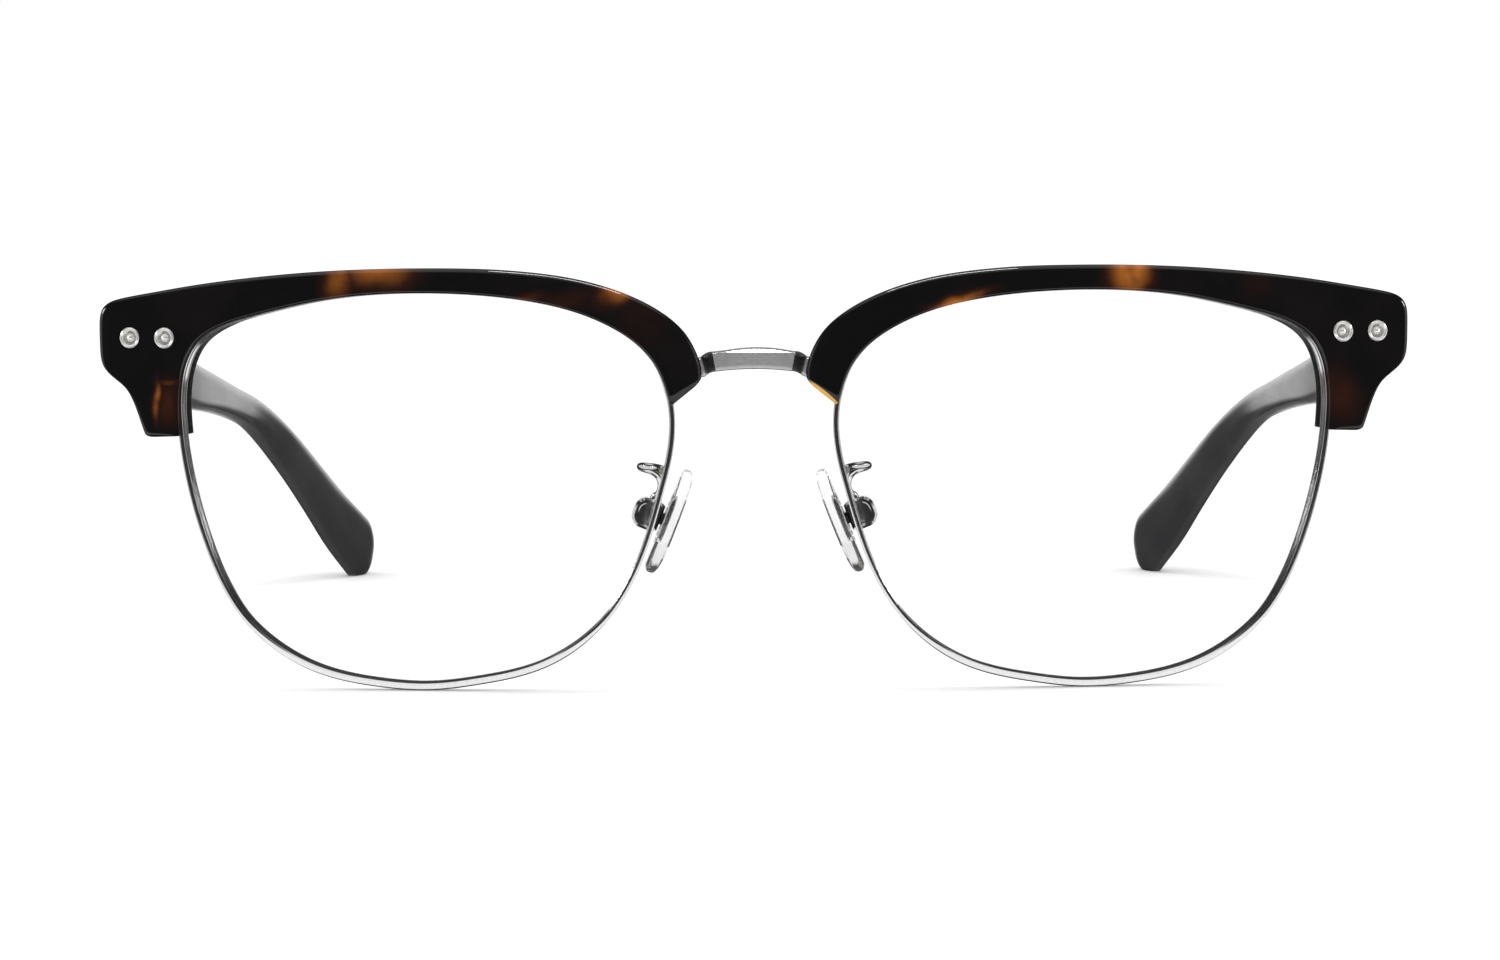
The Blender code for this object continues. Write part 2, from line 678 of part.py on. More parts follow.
def build_front(side, tag, mats):
    bar = make_object(f"brow_bar_{tag}", brow_bar(), side, mats["tortoise"])
    make_object(f"eyewire_{tag}", eyewire(), side, mats["silver"])
    make_object(f"lens_{tag}", lens(), side, mats["lens"], angle=20)

    slot = wrapped(box((5.0, RIM_BACK + 0.06, 35.2), (11.3, 6, 38.6)))
    change(bar, "DIFFERENCE", make_object(f"bridge_slot_{tag}", slot, side))
    hole = rod(0.5, 3.3, 7, bridge_screw_frame())
    change(bar, "DIFFERENCE", make_object(f"screw_hole_{tag}", hole, side))
    screw = [(0, 3.45), (0.45, 3.45), (0.45, 5.85), (0.85, 5.85), (0.85, 6.1), (0.6, 6.3),
             (0, 6.3)]
    make_turned(f"brow_screw_{tag}", screw, bridge_screw_frame(), side, mats["silver"])

    well = [(0, -1), (RIVET_HEAD_R + 0.03, -1), (RIVET_HEAD_R + 0.03, 0.5),
            (RIVET_SHANK_R + 0.05, 0.5), (RIVET_SHANK_R + 0.05, 7), (0, 7)]
    rivet = [(0, -0.02), (0.4, 0.05), (0.62, 0.22), (0.78, 0.22), (0.9, -0.12), (1.05, -0.2),
             (RIVET_HEAD_R, -0.05), (RIVET_HEAD_R, 0.45), (RIVET_SHANK_R, 0.45),
             (RIVET_SHANK_R, 5.42), (0, 5.42)]
    for k, spot in enumerate(RIVETS):
        place = rivet_frame(*spot)
        change(bar, "DIFFERENCE", make_turned(f"rivet_well_{tag}_{k + 1}", well, place, side))
        make_turned(f"end_rivet_{tag}_{k + 1}", rivet, place, side, mats["silver"])


def build_rim_lock(side, tag, mats):
    """The closing block of the eyewire and its screw, in a notch in the brow bar's back."""
    notch = wrapped(box((65.35, 1.3, 26.5), (68.5, 6, 34.6)))
    change(bpy.data.objects[f"brow_bar_{tag}"], "DIFFERENCE",
           make_object(f"lock_notch_{tag}", notch, side))
    place = front_frame(*LOCK_AT)
    block = make_object(f"rim_lock_{tag}", box((-1.22, -1.35, -2.45), (1.2, 1.35, 2.35), place),
                        side, mats["silver"])
    slit = box((-2, -2, -0.12), (2, 0.95, 0.12), place)
    change(block, "DIFFERENCE", make_object(f"lock_slit_{tag}", slit, side))
    change(block, "DIFFERENCE", make_object(f"lock_hole_{tag}", rod(0.46, -3, 1.8, place), side))
    screw = [(0, -2.95), (0.7, -2.95), (0.7, -2.5), (0.4, -2.5), (0.4, 1.7), (0, 1.7)]
    make_turned(f"rim_lock_screw_{tag}", screw, place, side, mats["silver"])


def knuckle(reach):
    """A barrel's plan with an arm out to y = reach on the hinge's own axes."""
    way = math.copysign(1, reach)
    plan = [(-BARREL_R, reach), (BARREL_R, reach)]
    for k in range(17):
        a = math.radians(180 * k / 16)
        plan.append((BARREL_R * math.cos(a), -way * BARREL_R * math.sin(a)))
    return plan


def build_hinge(side, tag, mats):
    """The plate on the brow bar's back with two of the barrels, and the pivot screw."""
    axis = Matrix.Translation((HINGE_X, HINGE_Y + FRONT_Y, DROP_Z))
    place = front_frame(PLATE_AT[0], BROW_DEPTH + PLATE_GAP, PLATE_AT[1])
    plate = box((PLATE_X[0], 0, PLATE_Z[0]), (PLATE_X[1], PLATE_THICK, PLATE_Z[1]), place)
    plate = make_object(f"hinge_plate_{tag}", plate, side, mats["steel"])
    for k in (0, 2):
        arm = prism(knuckle(-KNUCKLE_REACH), *KNUCKLES[k], axis)
        change(plate, "UNION", make_object(f"knuckle_{tag}_{k + 1}", arm, side))
    hole = rod(PIN_R + PIN_GAP, 35, 42, axis)
    change(plate, "DIFFERENCE", make_object(f"pin_hole_{tag}", hole, side))
    for k, spot in enumerate(RIVETS):
        hole = rod(RIVET_SHANK_R + 0.05, 3, 7, rivet_frame(*spot))
        change(plate, "DIFFERENCE", make_object(f"plate_hole_{tag}_{k + 1}", hole, side))
    screw = [(0, 36.25), (PIN_R, 36.25), (PIN_R, 41.06), (0.95, 41.06), (0.95, 41.45),
             (0.75, 41.65), (0, 41.65)]
    make_turned(f"hinge_screw_{tag}", screw, axis, side, mats["silver"])


def build_leaf(side, tag, mats, path, parent):
    """The temple's hinge leaf, flat on its inner face, with the middle barrel."""
    y0, y1, x0, x1, tall = LEAF
    here, along, _, _, _ = path.at(path.share((y0 + y1) / 2))
    run = Vector((0, along.y, along.z)).normalized()
    across = Vector((1, 0, 0))
    place = frame(Vector((0, here.y, here.z)), across, run, across.cross(run))
    half = (y1 - y0) / 2
    leaf = box((x0, -half, -tall / 2), (x1, half, tall / 2), place)
    leaf = make_object(f"hinge_leaf_{tag}", leaf, side, mats["steel"], parent)
    axis = Matrix.Translation((HINGE_X, HINGE_Y + FRONT_Y, DROP_Z))
    plan = [(max(x, 0.0) if y > BARREL_R else x, y) for x, y in knuckle(KNUCKLE_REACH)]
    change(leaf, "UNION", make_object(f"knuckle_{tag}_2", prism(plan, *KNUCKLES[1], axis), side))
    hole = rod(PIN_R + PIN_GAP, 35, 42, axis)
    change(leaf, "DIFFERENCE", make_object(f"leaf_pin_hole_{tag}", hole, side))
    return leaf


def build_temple(side, tag, mats, path):
    hinge = make_axis(f"temple_hinge_{tag}",
                      Vector((HINGE_X, HINGE_Y + FRONT_Y, KNUCKLES[1][0] + DROP_Z)), side)
    arm = make_object(f"temple_{tag}", temple(path), side, mats["temple"], hinge)
    make_object(f"temple_core_{tag}", core_wire(path), side, mats["steel"], hinge)
    leaf = build_leaf(side, tag, mats, path, hinge)

    seat, head = TEMPLE_HEAD
    well = [(0, 68), (RIVET_SHANK_R + 0.05, 68), (RIVET_SHANK_R + 0.05, seat),
            (RIVET_HEAD_R + 0.03, seat), (RIVET_HEAD_R + 0.03, 75), (0, 75)]
    rivet = [(0, 68.48), (RIVET_SHANK_R, 68.48), (RIVET_SHANK_R, seat + 0.05),
             (RIVET_HEAD_R, seat + 0.05), (RIVET_HEAD_R, head + 0.05), (1.05, head + 0.18),
             (0.9, head + 0.12), (0.78, head - 0.2), (0.62, head - 0.2), (0.4, head - 0.05),
             (0, head)]
    for k, y in enumerate(TEMPLE_RIVETS):
        at = path.at(path.share(y))[0]
        spot = frame(Vector((0, at.y, at.z)), Vector((0, 1, 0)), Vector((0, 0, 1)),
                     Vector((1, 0, 0)))
        change(arm, "DIFFERENCE", make_turned(f"temple_well_{tag}_{k + 1}", well, spot, side))
        hole = rod(RIVET_SHANK_R + 0.05, 67, 70, spot)
        change(leaf, "DIFFERENCE", make_object(f"leaf_hole_{tag}_{k + 1}", hole, side))
        make_turned(f"temple_rivet_{tag}_{k + 1}", rivet, spot, side, mats["silver"], hinge)


def build_pad(side, tag, mats):
    place = pad_frame()
    pivot = pivot_frame(place)
    rock = make_axis(f"nose_pad_pivot_{tag}", pivot.translation, side)
    make_object(f"nose_pad_{tag}", nose_pad(place), side, mats["silicone"], rock, angle=50)
    insert = make_object(f"pad_insert_{tag}", pad_insert(place), side, mats["steel"], rock)
    change(insert, "UNION", make_object(f"tongue_{tag}", tongue(place), side))
    change(insert, "DIFFERENCE", make_object(f"tongue_hole_{tag}", rod(0.35, -2, 2, pivot), side))

    tall, wide, near, far = BOX
    cup = make_object(f"pad_box_{tag}", box((-tall, -wide, near), (tall, wide, far), place),
                      side, mats["silver"])
    room = box((-tall + BOX_WALL, -wide + BOX_WALL, 0),
               (tall - BOX_WALL, wide - BOX_WALL, far - BOX_WALL), place)
    change(cup, "DIFFERENCE", make_object(f"box_room_{tag}", room, side))
    change(cup, "DIFFERENCE", make_object(f"box_hole_{tag}", rod(0.33, -2, 2, pivot), side))
    screw = [(0, -wide - 0.05), (0.28, -wide - 0.05), (0.28, wide + 0.05), (0.6, wide + 0.05),
             (0.6, wide + 0.3), (0, wide + 0.3)]
    make_turned(f"pad_screw_{tag}", screw, pivot, side, mats["silver"])

    wire = [Vector((x, y + FRONT_Y, z + DROP_Z)) for x, y, z in open_curve(ARM, 24)]
    wire += [place @ Vector((-tall - reach, 0, ARM_END)) for reach in (0.7, 0.03)]
    make_wire(f"pad_arm_{tag}", open_curve([tuple(p) for p in wire], 34), ARM_R, side,
              mats["silver"])


def main():
    clear_scene()
    for name in ("browline_glasses", "cutters"):
        group = bpy.data.collections.new(name)
        bpy.context.scene.collection.children.link(group)
    mats = {
        "tortoise": make_material("tortoise", (0.035, 0.018, 0.012), 0.0, 0.12),
        "temple": make_material("temple", (0.05, 0.05, 0.055), 0.0, 0.18),
        "silver": make_material("silver", (0.78, 0.78, 0.78), 1.0, 0.16),
        "steel": make_material("steel", (0.5, 0.5, 0.52), 1.0, 0.3),
        "lens": make_material("lens", (0.97, 0.98, 0.98), 0.0, 0.02, 0.97, 1.5),
        "silicone": make_material("silicone", (0.86, 0.86, 0.84), 0.0, 0.25, 0.7, 1.41),
    }
    path = Path()
    build_bridge(mats)
    for side, tag in SIDES:
        build_front(side, tag, mats)
        build_rim_lock(side, tag, mats)
        build_hinge(side, tag, mats)
        build_temple(side, tag, mats, path)
        build_pad(side, tag, mats)


main()
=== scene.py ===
"""The looks of the half rim (browline) eyeglasses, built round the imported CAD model.

Shapes are worked out in millimetres from the CAD part's curves, at a finer step, and become
metres in add_piece. The bridge, eyewire foot, pad boxes and pad arms lie up to half a millimetre
off the CAD surfaces, and the stiffening wires reach about 2.5 mm too far at each end.
+X is the wearer's left, the front faces -Y, +Z is up. Each piece is described for the +X side
and mirrored.
"""

import math

import bmesh
import bpy
import numpy as np
from mathutils import Matrix, Vector


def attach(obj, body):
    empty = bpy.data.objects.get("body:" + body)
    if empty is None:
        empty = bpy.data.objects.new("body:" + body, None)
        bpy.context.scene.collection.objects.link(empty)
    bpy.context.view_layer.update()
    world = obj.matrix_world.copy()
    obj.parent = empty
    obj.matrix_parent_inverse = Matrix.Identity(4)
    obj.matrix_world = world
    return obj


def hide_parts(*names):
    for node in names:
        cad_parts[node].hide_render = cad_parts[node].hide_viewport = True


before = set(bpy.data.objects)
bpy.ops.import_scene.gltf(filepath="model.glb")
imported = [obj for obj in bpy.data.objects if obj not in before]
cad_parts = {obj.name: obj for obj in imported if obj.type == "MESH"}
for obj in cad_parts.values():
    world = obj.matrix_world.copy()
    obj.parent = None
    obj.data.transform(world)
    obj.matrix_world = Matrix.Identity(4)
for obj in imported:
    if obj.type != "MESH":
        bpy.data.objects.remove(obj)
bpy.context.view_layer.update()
SIDES = ((1, "left"), (-1, "right"))

# The bent front: its front plane, floor offset and curves across and up
FRONT_Y = -73.6
DROP_Z = 0.074
CURVE_R = (140.0, 260.0)
CURVE_X = 23.0
CURVE_Z = 35.5
STRAIGHT_X = 60.0

# Lens opening, a closed polar curve of (angle in degrees, radius), and the wire round it
LENS_CENTRE = (37.0, 23.0)
APERTURE = (
    (0, 26.93), (15, 28.96), (25, 30.46), (32, 30.63), (38, 29.45), (45, 27.41), (60, 24.27),
    (90, 21.91), (120, 24.17), (140, 27.82), (151, 29.33), (158, 29.28), (164, 28.78),
    (180, 26.49), (205, 25.16), (235, 24.10), (255, 22.71), (270, 22.62), (285, 23.05),
    (305, 24.67), (325, 25.71), (345, 25.95),
)
RIM_WALL = 0.6
RIM_FRONT = 1.05
RIM_BACK = 2.65
GROOVE = 0.3
RIM_STATIONS = 280
CROWN_DEPTH = 0.10

# Foot of the eyewire
FOOT_TOP = 9
FOOT_BLEND = 6
FOOT_GROWTH = 0.26
FOOT_SLOPE = 0.22
FOOT_FLAT = 0.32

# Lens
LENS_FRONT = 0.95
LENS_BACK = 2.75
LENS_BEVEL = 0.24
LENS_GAP = 0.05

# Brow bar: outer edge points, each with the angle of the inner edge point facing it
BROW = (
    (5.88, 34.80, 162.0), (5.66, 35.65, 157.0), (5.82, 36.70, 153.0), (6.70, 39.00, 148.5),
    (8.15, 41.05, 144.5), (11.00, 43.20, 139.0), (15.10, 45.12, 132.5), (20.40, 46.58, 125.0),
    (27.70, 47.48, 114.0), (37.50, 47.73, 90.0), (47.50, 47.46, 66.0), (55.20, 46.85, 52.0),
    (62.20, 46.00, 42.0), (68.00, 45.03, 35.5), (71.60, 44.37, 31.5), (73.45, 43.88, 29.4),
    (74.20, 43.15, 27.6), (74.33, 42.10, 25.4), (74.31, 39.80, 22.4), (74.28, 37.80, 19.8),
    (74.08, 36.50, 17.8), (73.10, 35.62, 15.8), (71.50, 34.60, 13.8), (70.75, 33.40, 12.4),
    (70.00, 31.40, 12.2), (69.30, 29.20, 12.0), (69.05, 28.55, 11.6),
)
BROW_STATIONS = 230
BROW_DEPTH = 4.4
BROW_EDGE_R = 0.75
LIP_R = 0.3
CHANNEL = (0.96, 2.76, 0.88)
END_R = 0.55

# Bridge
BRIDGE_FLAT = 4.45
BRIDGE_BEHIND = 5.75
BRIDGE_END = 10.9
BRIDGE_FRONT = 1.75
BRIDGE_THICK = 1.55
BRIDGE_TALL = 2.25
BRIDGE_Z = 37.30
BRIDGE_LOWER = 0.2
BRIDGE_RISE = 0.45
BRIDGE_DIP = 0.5
BRIDGE_SCREW = (8.3, 36.55)

# End rivets, hinge plate and temple hinge
RIVETS = ((66.57, 39.86), (70.60, 39.86))
RIVET_HEAD_R = 1.2
RIVET_SHANK_R = 0.65
PLATE_AT = (69.0, 39.5)
PLATE_GAP = 0.08
PLATE_THICK = 1.0
HINGE_X = 67.8
HINGE_Y = 14.05
LOCK_AT = (67.1, 2.85, 32.0)

# Temple: (y, z, x of its centre line, height, thickness, corner rounding across and up)
TEMPLE = (
    (14.3, 39.15, 71.30, 7.40, 4.10, 1.0, 1.0), (22.0, 37.55, 71.30, 7.15, 4.10, 1.0, 1.0),
    (30.0, 35.95, 71.20, 6.70, 4.00, 1.1, 1.2), (40.0, 34.05, 70.55, 6.20, 3.80, 1.2, 1.4),
    (52.0, 32.15, 69.60, 5.65, 3.60, 1.3, 1.6), (68.0, 30.20, 68.65, 4.75, 3.40, 1.4, 1.7),
    (84.0, 28.05, 67.80, 4.20, 3.30, 1.4, 1.7), (95.0, 26.20, 66.95, 4.40, 3.25, 1.4, 1.8),
    (104.0, 23.30, 65.50, 5.30, 3.25, 1.4, 2.2), (113.0, 19.20, 63.55, 6.30, 3.25, 1.4, 2.6),
    (124.0, 13.75, 61.35, 7.30, 3.35, 1.4, 2.9), (134.0, 8.60, 59.30, 8.40, 3.50, 1.4, 3.2),
    (143.0, 4.02, 57.00, 9.20, 3.50, 1.4, 3.4),
)
TEMPLE_STATIONS = 150
TEMPLE_TIP = 4.2
TEMPLE_GAP = 0.10
BORE = (1.5, 2.6)
BORE_AT = (0.03, 0.80, 40)

# Nose pad, its box and its wire arm
PAD_AT = (9.65, 10.2, 18.45)
PAD_LEAN = 21.7
PAD_SPLAY = 3.0
PAD_HALF = (6.25, 3.6)
PAD_THICK = 1.75
POCKET = (2.85, 1.5)
POCKET_DEPTH = 0.75
PIVOT_OUT = 2.1
BOX = (1.50, 1.30, 1.15, 4.10)
BOX_WALL = 0.35
CUP_DEEPER = 0.35
CUP_SWELL = 1.18
CUP_ROUND = 1.3
ARM_R = 0.42
ARM_END = 2.7
ARM = (
    (10.30, 3.52, 24.75), (10.35, 4.50, 24.85), (11.20, 5.80, 24.98), (12.35, 6.60, 25.05),
    (12.95, 7.50, 24.98), (12.62, 8.45, 24.66), (11.75, 9.00, 24.36), (10.88, 9.32, 23.72),
    (10.58, 9.55, 22.55), (11.00, 9.75, 21.45),
)


# ---------------------------------------------------------------- curves
def periodic_spline(knots, turn):
    """A closed smooth curve r(angle) through the knots, as a function."""
    x = np.array([k[0] for k in knots], float)
    y = np.array([k[1] for k in knots], float)
    n = len(x)
    h = np.append(np.diff(x), x[0] + turn - x[-1])
    lhs = np.zeros((n, n))
    rhs = np.zeros(n)
    for i in range(n):
        before, after, j = h[i - 1], h[i], (i + 1) % n
        lhs[i, i - 1] += before
        lhs[i, i] += 2 * (before + after)
        lhs[i, j] += after
        rhs[i] = 6 * ((y[j] - y[i]) / after - (y[i] - y[i - 1]) / before)
    bend = np.linalg.solve(lhs, rhs)

    def value(at):
        at = (at - x[0]) % turn + x[0]
        i = int(np.searchsorted(x, at, side="right")) - 1
        j = (i + 1) % n
        t, w = at - x[i], h[i]
        slope = (y[j] - y[i]) / w - w * (2 * bend[i] + bend[j]) / 6
        return y[i] + t * slope + t * t * bend[i] / 2 + t**3 * (bend[j] - bend[i]) / (6 * w)

    return value


def open_curve(points, count):
    """count points evenly along a centripetal curve through the given ones (any dimension)."""
    p = np.array(points, float)
    p = np.vstack([2 * p[0] - p[1], p, 2 * p[-1] - p[-2]])
    fine = []
    for i in range(1, len(p) - 2):
        a, b, c, d = p[i - 1 : i + 3]
        t0 = 0.0
        t1 = t0 + np.linalg.norm(b - a) ** 0.5
        t2 = t1 + np.linalg.norm(c - b) ** 0.5
        t3 = t2 + np.linalg.norm(d - c) ** 0.5
        for t in np.linspace(t1, t2, 24, endpoint=False):
            ab = ((t1 - t) * a + (t - t0) * b) / (t1 - t0)
            bc = ((t2 - t) * b + (t - t1) * c) / (t2 - t1)
            cd = ((t3 - t) * c + (t - t2) * d) / (t3 - t2)
            abc = ((t2 - t) * ab + (t - t0) * bc) / (t2 - t0)
            bcd = ((t3 - t) * bc + (t - t1) * cd) / (t3 - t1)
            fine.append(((t2 - t) * abc + (t - t1) * bcd) / (t2 - t1))
    fine.append(p[-2])
    fine = np.array(fine)
    run = np.append(0, np.cumsum(np.linalg.norm(np.diff(fine, axis=0), axis=1)))
    at = np.linspace(0, run[-1], count)
    return np.array([np.interp(at, run, fine[:, k]) for k in range(fine.shape[1])]).T.tolist()


def softened(rows, passes):
    """The rows with each inner one moved towards its neighbours' mean, for an even sheen."""
    rows = np.array(rows, float)
    for _ in range(passes):
        rows[1:-1] += 0.5 * ((rows[:-2] + rows[2:]) / 2 - rows[1:-1])
    return rows.tolist()


aperture_radius = periodic_spline(APERTURE, 360.0)


def aperture(angle, out=0.0):
    """The lens opening's edge at this angle, moved outwards by out."""

    def at(a):
        r = aperture_radius(a)
        turn = math.radians(a)
        return Vector((LENS_CENTRE[0] + r * math.cos(turn), LENS_CENTRE[1] + r * math.sin(turn)))

    along = (at(angle + 0.5) - at(angle - 0.5)).normalized()
    return at(angle) + out * Vector((along.y, -along.x))


def even_angles(count):
    """Angles whose points lie evenly spaced round the lens opening."""
    fine = np.linspace(0, 360, 1441)
    p = np.array([aperture(a) for a in fine])
    run = np.append(0, np.cumsum(np.linalg.norm(np.diff(p, axis=0), axis=1)))
    return np.interp(np.linspace(0, run[-1], count, endpoint=False), run, fine).tolist()


def arc(cx, cy, r, first, last, count):
    """count points of a circle about (cx, cy) from one angle to another, in degrees."""
    turns = [math.radians(first + (last - first) * k / (count - 1)) for k in range(count)]
    return [(cx + r * math.cos(a), cy + r * math.sin(a)) for a in turns]


# ---------------------------------------------------------------- placing
def back_normal(x, z):
    sx = (min(x, STRAIGHT_X) - CURVE_X) / CURVE_R[0]
    return Vector((-sx, 1, -(z - CURVE_Z) / CURVE_R[1])).normalized()


def wrap(x, y, z):
    """A point of the flat front, y deep, on the bent front."""
    near = min(x, STRAIGHT_X) - CURVE_X
    back = near**2 / (2 * CURVE_R[0]) + (z - CURVE_Z) ** 2 / (2 * CURVE_R[1])
    back += max(x - STRAIGHT_X, 0) * (STRAIGHT_X - CURVE_X) / CURVE_R[0]
    return Vector((x, back + FRONT_Y, z + DROP_Z)) + y * back_normal(x, z)


def axes_at(at, i, j, k):
    m = Matrix((i, j, k)).transposed().to_4x4()
    m.translation = at
    return m


def front_frame(x, y, z):
    """A matrix whose axes are along the front, into its depth and up it, at (x, z)."""
    n = back_normal(x, z)
    up = (Vector((0, 0, 1)) - n.z * n).normalized()
    return axes_at(wrap(x, y, z), n.cross(up), n, up)


def facing_in(place):
    """The same place with its z axis into the depth of the front."""
    return place @ Matrix.Rotation(math.radians(-90), 4, "X")


# ---------------------------------------------------------------- meshes
def loft(rings, closed=False):
    """(points, faces) of a skin over rings of equal length, capped unless closed."""
    n = len(rings[0])
    points = [Vector(p) for ring in rings for p in ring]
    faces = []
    last = len(rings) if closed else len(rings) - 1
    for i in range(last):
        a, b = i * n, (i + 1) % len(rings) * n
        for k in range(n):
            m = (k + 1) % n
            faces.append((a + k, a + m, b + m, b + k))
    if not closed:
        faces.append(tuple(reversed(range(n))))
        faces.append(tuple(range((len(rings) - 1) * n, len(rings) * n)))
    return points, faces


def rounded_rect(wide, tall, rx, ry, per_corner=7, along_side=3):
    """A rectangle round the origin with elliptical corners, anticlockwise."""
    corners = []
    for k, (sx, sy) in enumerate(((1, 1), (-1, 1), (-1, -1), (1, -1))):
        cx, cy = sx * (wide / 2 - rx), sy * (tall / 2 - ry)
        turn = arc(0, 0, 1, 90 * k, 90 * k + 90, per_corner)
        corners.append([(cx + rx * c, cy + ry * s) for c, s in turn])
    out = []
    for k, corner in enumerate(corners):
        out += corner
        (x0, y0), (x1, y1) = corner[-1], corners[(k + 1) % 4][0]
        steps = [(i + 1) / (along_side + 1) for i in range(along_side)]
        out += [(x0 + (x1 - x0) * s, y0 + (y1 - y0) * s) for s in steps]
    return out


def box(low, high, place=None):
    """(points, faces) of a box, moved by the matrix place."""
    points = [Vector((x, y, z)) for x in (low[0], high[0]) for y in (low[1], high[1])
              for z in (low[2], high[2])]
    faces = [(0, 1, 3, 2), (4, 6, 7, 5), (0, 4, 5, 1), (2, 3, 7, 6), (0, 2, 6, 4), (1, 5, 7, 3)]
    return [place @ p for p in points] if place else points, faces


def turned(profile, place, count=56):
    """(points, faces) of the profile of (radius, height) turned about place's z axis."""
    points, faces, rows = [], [], []
    for r, h in profile:
        if r < 1e-6:
            rows.append([len(points)] * count)
            points.append(Vector((0, 0, h)))
            continue
        rows.append(list(range(len(points), len(points) + count)))
        for k in range(count):
            a = 2 * math.pi * k / count
            points.append(Vector((r * math.cos(a), r * math.sin(a), h)))
    for low, high in zip(rows, rows[1:]):
        for k in range(count):
            m = (k + 1) % count
            faces.append(tuple(dict.fromkeys([low[k], low[m], high[m], high[k]])))
    return [place @ p for p in points], faces


def rod(r, low, high, bevel=0.0):
    """The profile of a cylinder with bevelled rims."""
    if not bevel:
        return [(0, low), (r, low), (r, high), (0, high)]
    return [(0, low), (r - bevel, low), (r, low + bevel), (r, high - bevel),
            (r - bevel, high), (0, high)]


def sweep(path, r, count=20):
    """A round wire along the path, turned as little as possible from ring to ring."""
    rings = []
    side = (path[1] - path[0]).normalized().orthogonal().normalized()
    for i in range(len(path)):
        low, high = path[max(i - 1, 0)], path[min(i + 1, len(path) - 1)]
        new = (high - low).normalized()
        side = (side - side.dot(new) * new).normalized()
        other = new.cross(side)
        ring = arc(0, 0, r, 0, 360 - 360 / count, count)
        rings.append([path[i] + c * side + s * other for c, s in ring])
    return loft(rings)


# ---------------------------------------------------------------- pieces
def mesh_object(name, shape, side):
    points, faces = shape
    mesh = bpy.data.meshes.new(name)
    flip = Vector((side, 1, 1))
    mesh.from_pydata([p * flip / 1000 for p in points], [], faces)
    bm = bmesh.new()
    bm.from_mesh(mesh)
    bmesh.ops.recalc_face_normals(bm, faces=bm.faces)
    bm.to_mesh(mesh)
    bm.free()
    obj = bpy.data.objects.new(name, mesh)
    bpy.context.scene.collection.objects.link(obj)
    return obj


def baked(obj):
    """Makes the object's modifiers part of its mesh."""
    graph = bpy.context.evaluated_depsgraph_get()
    mesh = bpy.data.meshes.new_from_object(obj.evaluated_get(graph))
    obj.modifiers.clear()
    obj.data = mesh


def change(obj, operation, shapes, side):
    """Joins shapes to obj or cuts them out of it."""
    for shape in shapes:
        tool = mesh_object("tool", shape, side)
        step = obj.modifiers.new("step", "BOOLEAN")
        step.operation = operation
        step.solver = "EXACT"
        step.object = tool
        baked(obj)
        bpy.data.objects.remove(tool)


def rounded(obj, width, segments=3, angle=40):
    """Rounds the object's sharp edges by width in mm."""
    step = obj.modifiers.new("rounded", "BEVEL")
    step.width = width / 1000
    step.segments = segments
    step.limit_method = "ANGLE"
    step.angle_limit = math.radians(angle)
    step.harden_normals = False
    step.use_clamp_overlap = True
    baked(obj)


def finish_piece(obj, node, body, mat, angle=32):
    """Shades the piece, gives it its material and puts it on its body in place of the node."""
    obj.data.shade_smooth()
    obj.data.set_sharp_from_angle(angle=math.radians(angle))
    obj.data.materials.clear()
    obj.data.materials.append(mat)
    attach(obj, body)
    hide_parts(node)


def add_piece(name, node, shape, side, body, mat, cuts=(), joins=(), bevel=None, angle=32):
    obj = mesh_object(name, shape, side)
    change(obj, "UNION", joins, side)
    change(obj, "DIFFERENCE", cuts, side)
    if bevel:
        rounded(obj, *bevel)
    finish_piece(obj, node, body, mat, angle)
    return obj


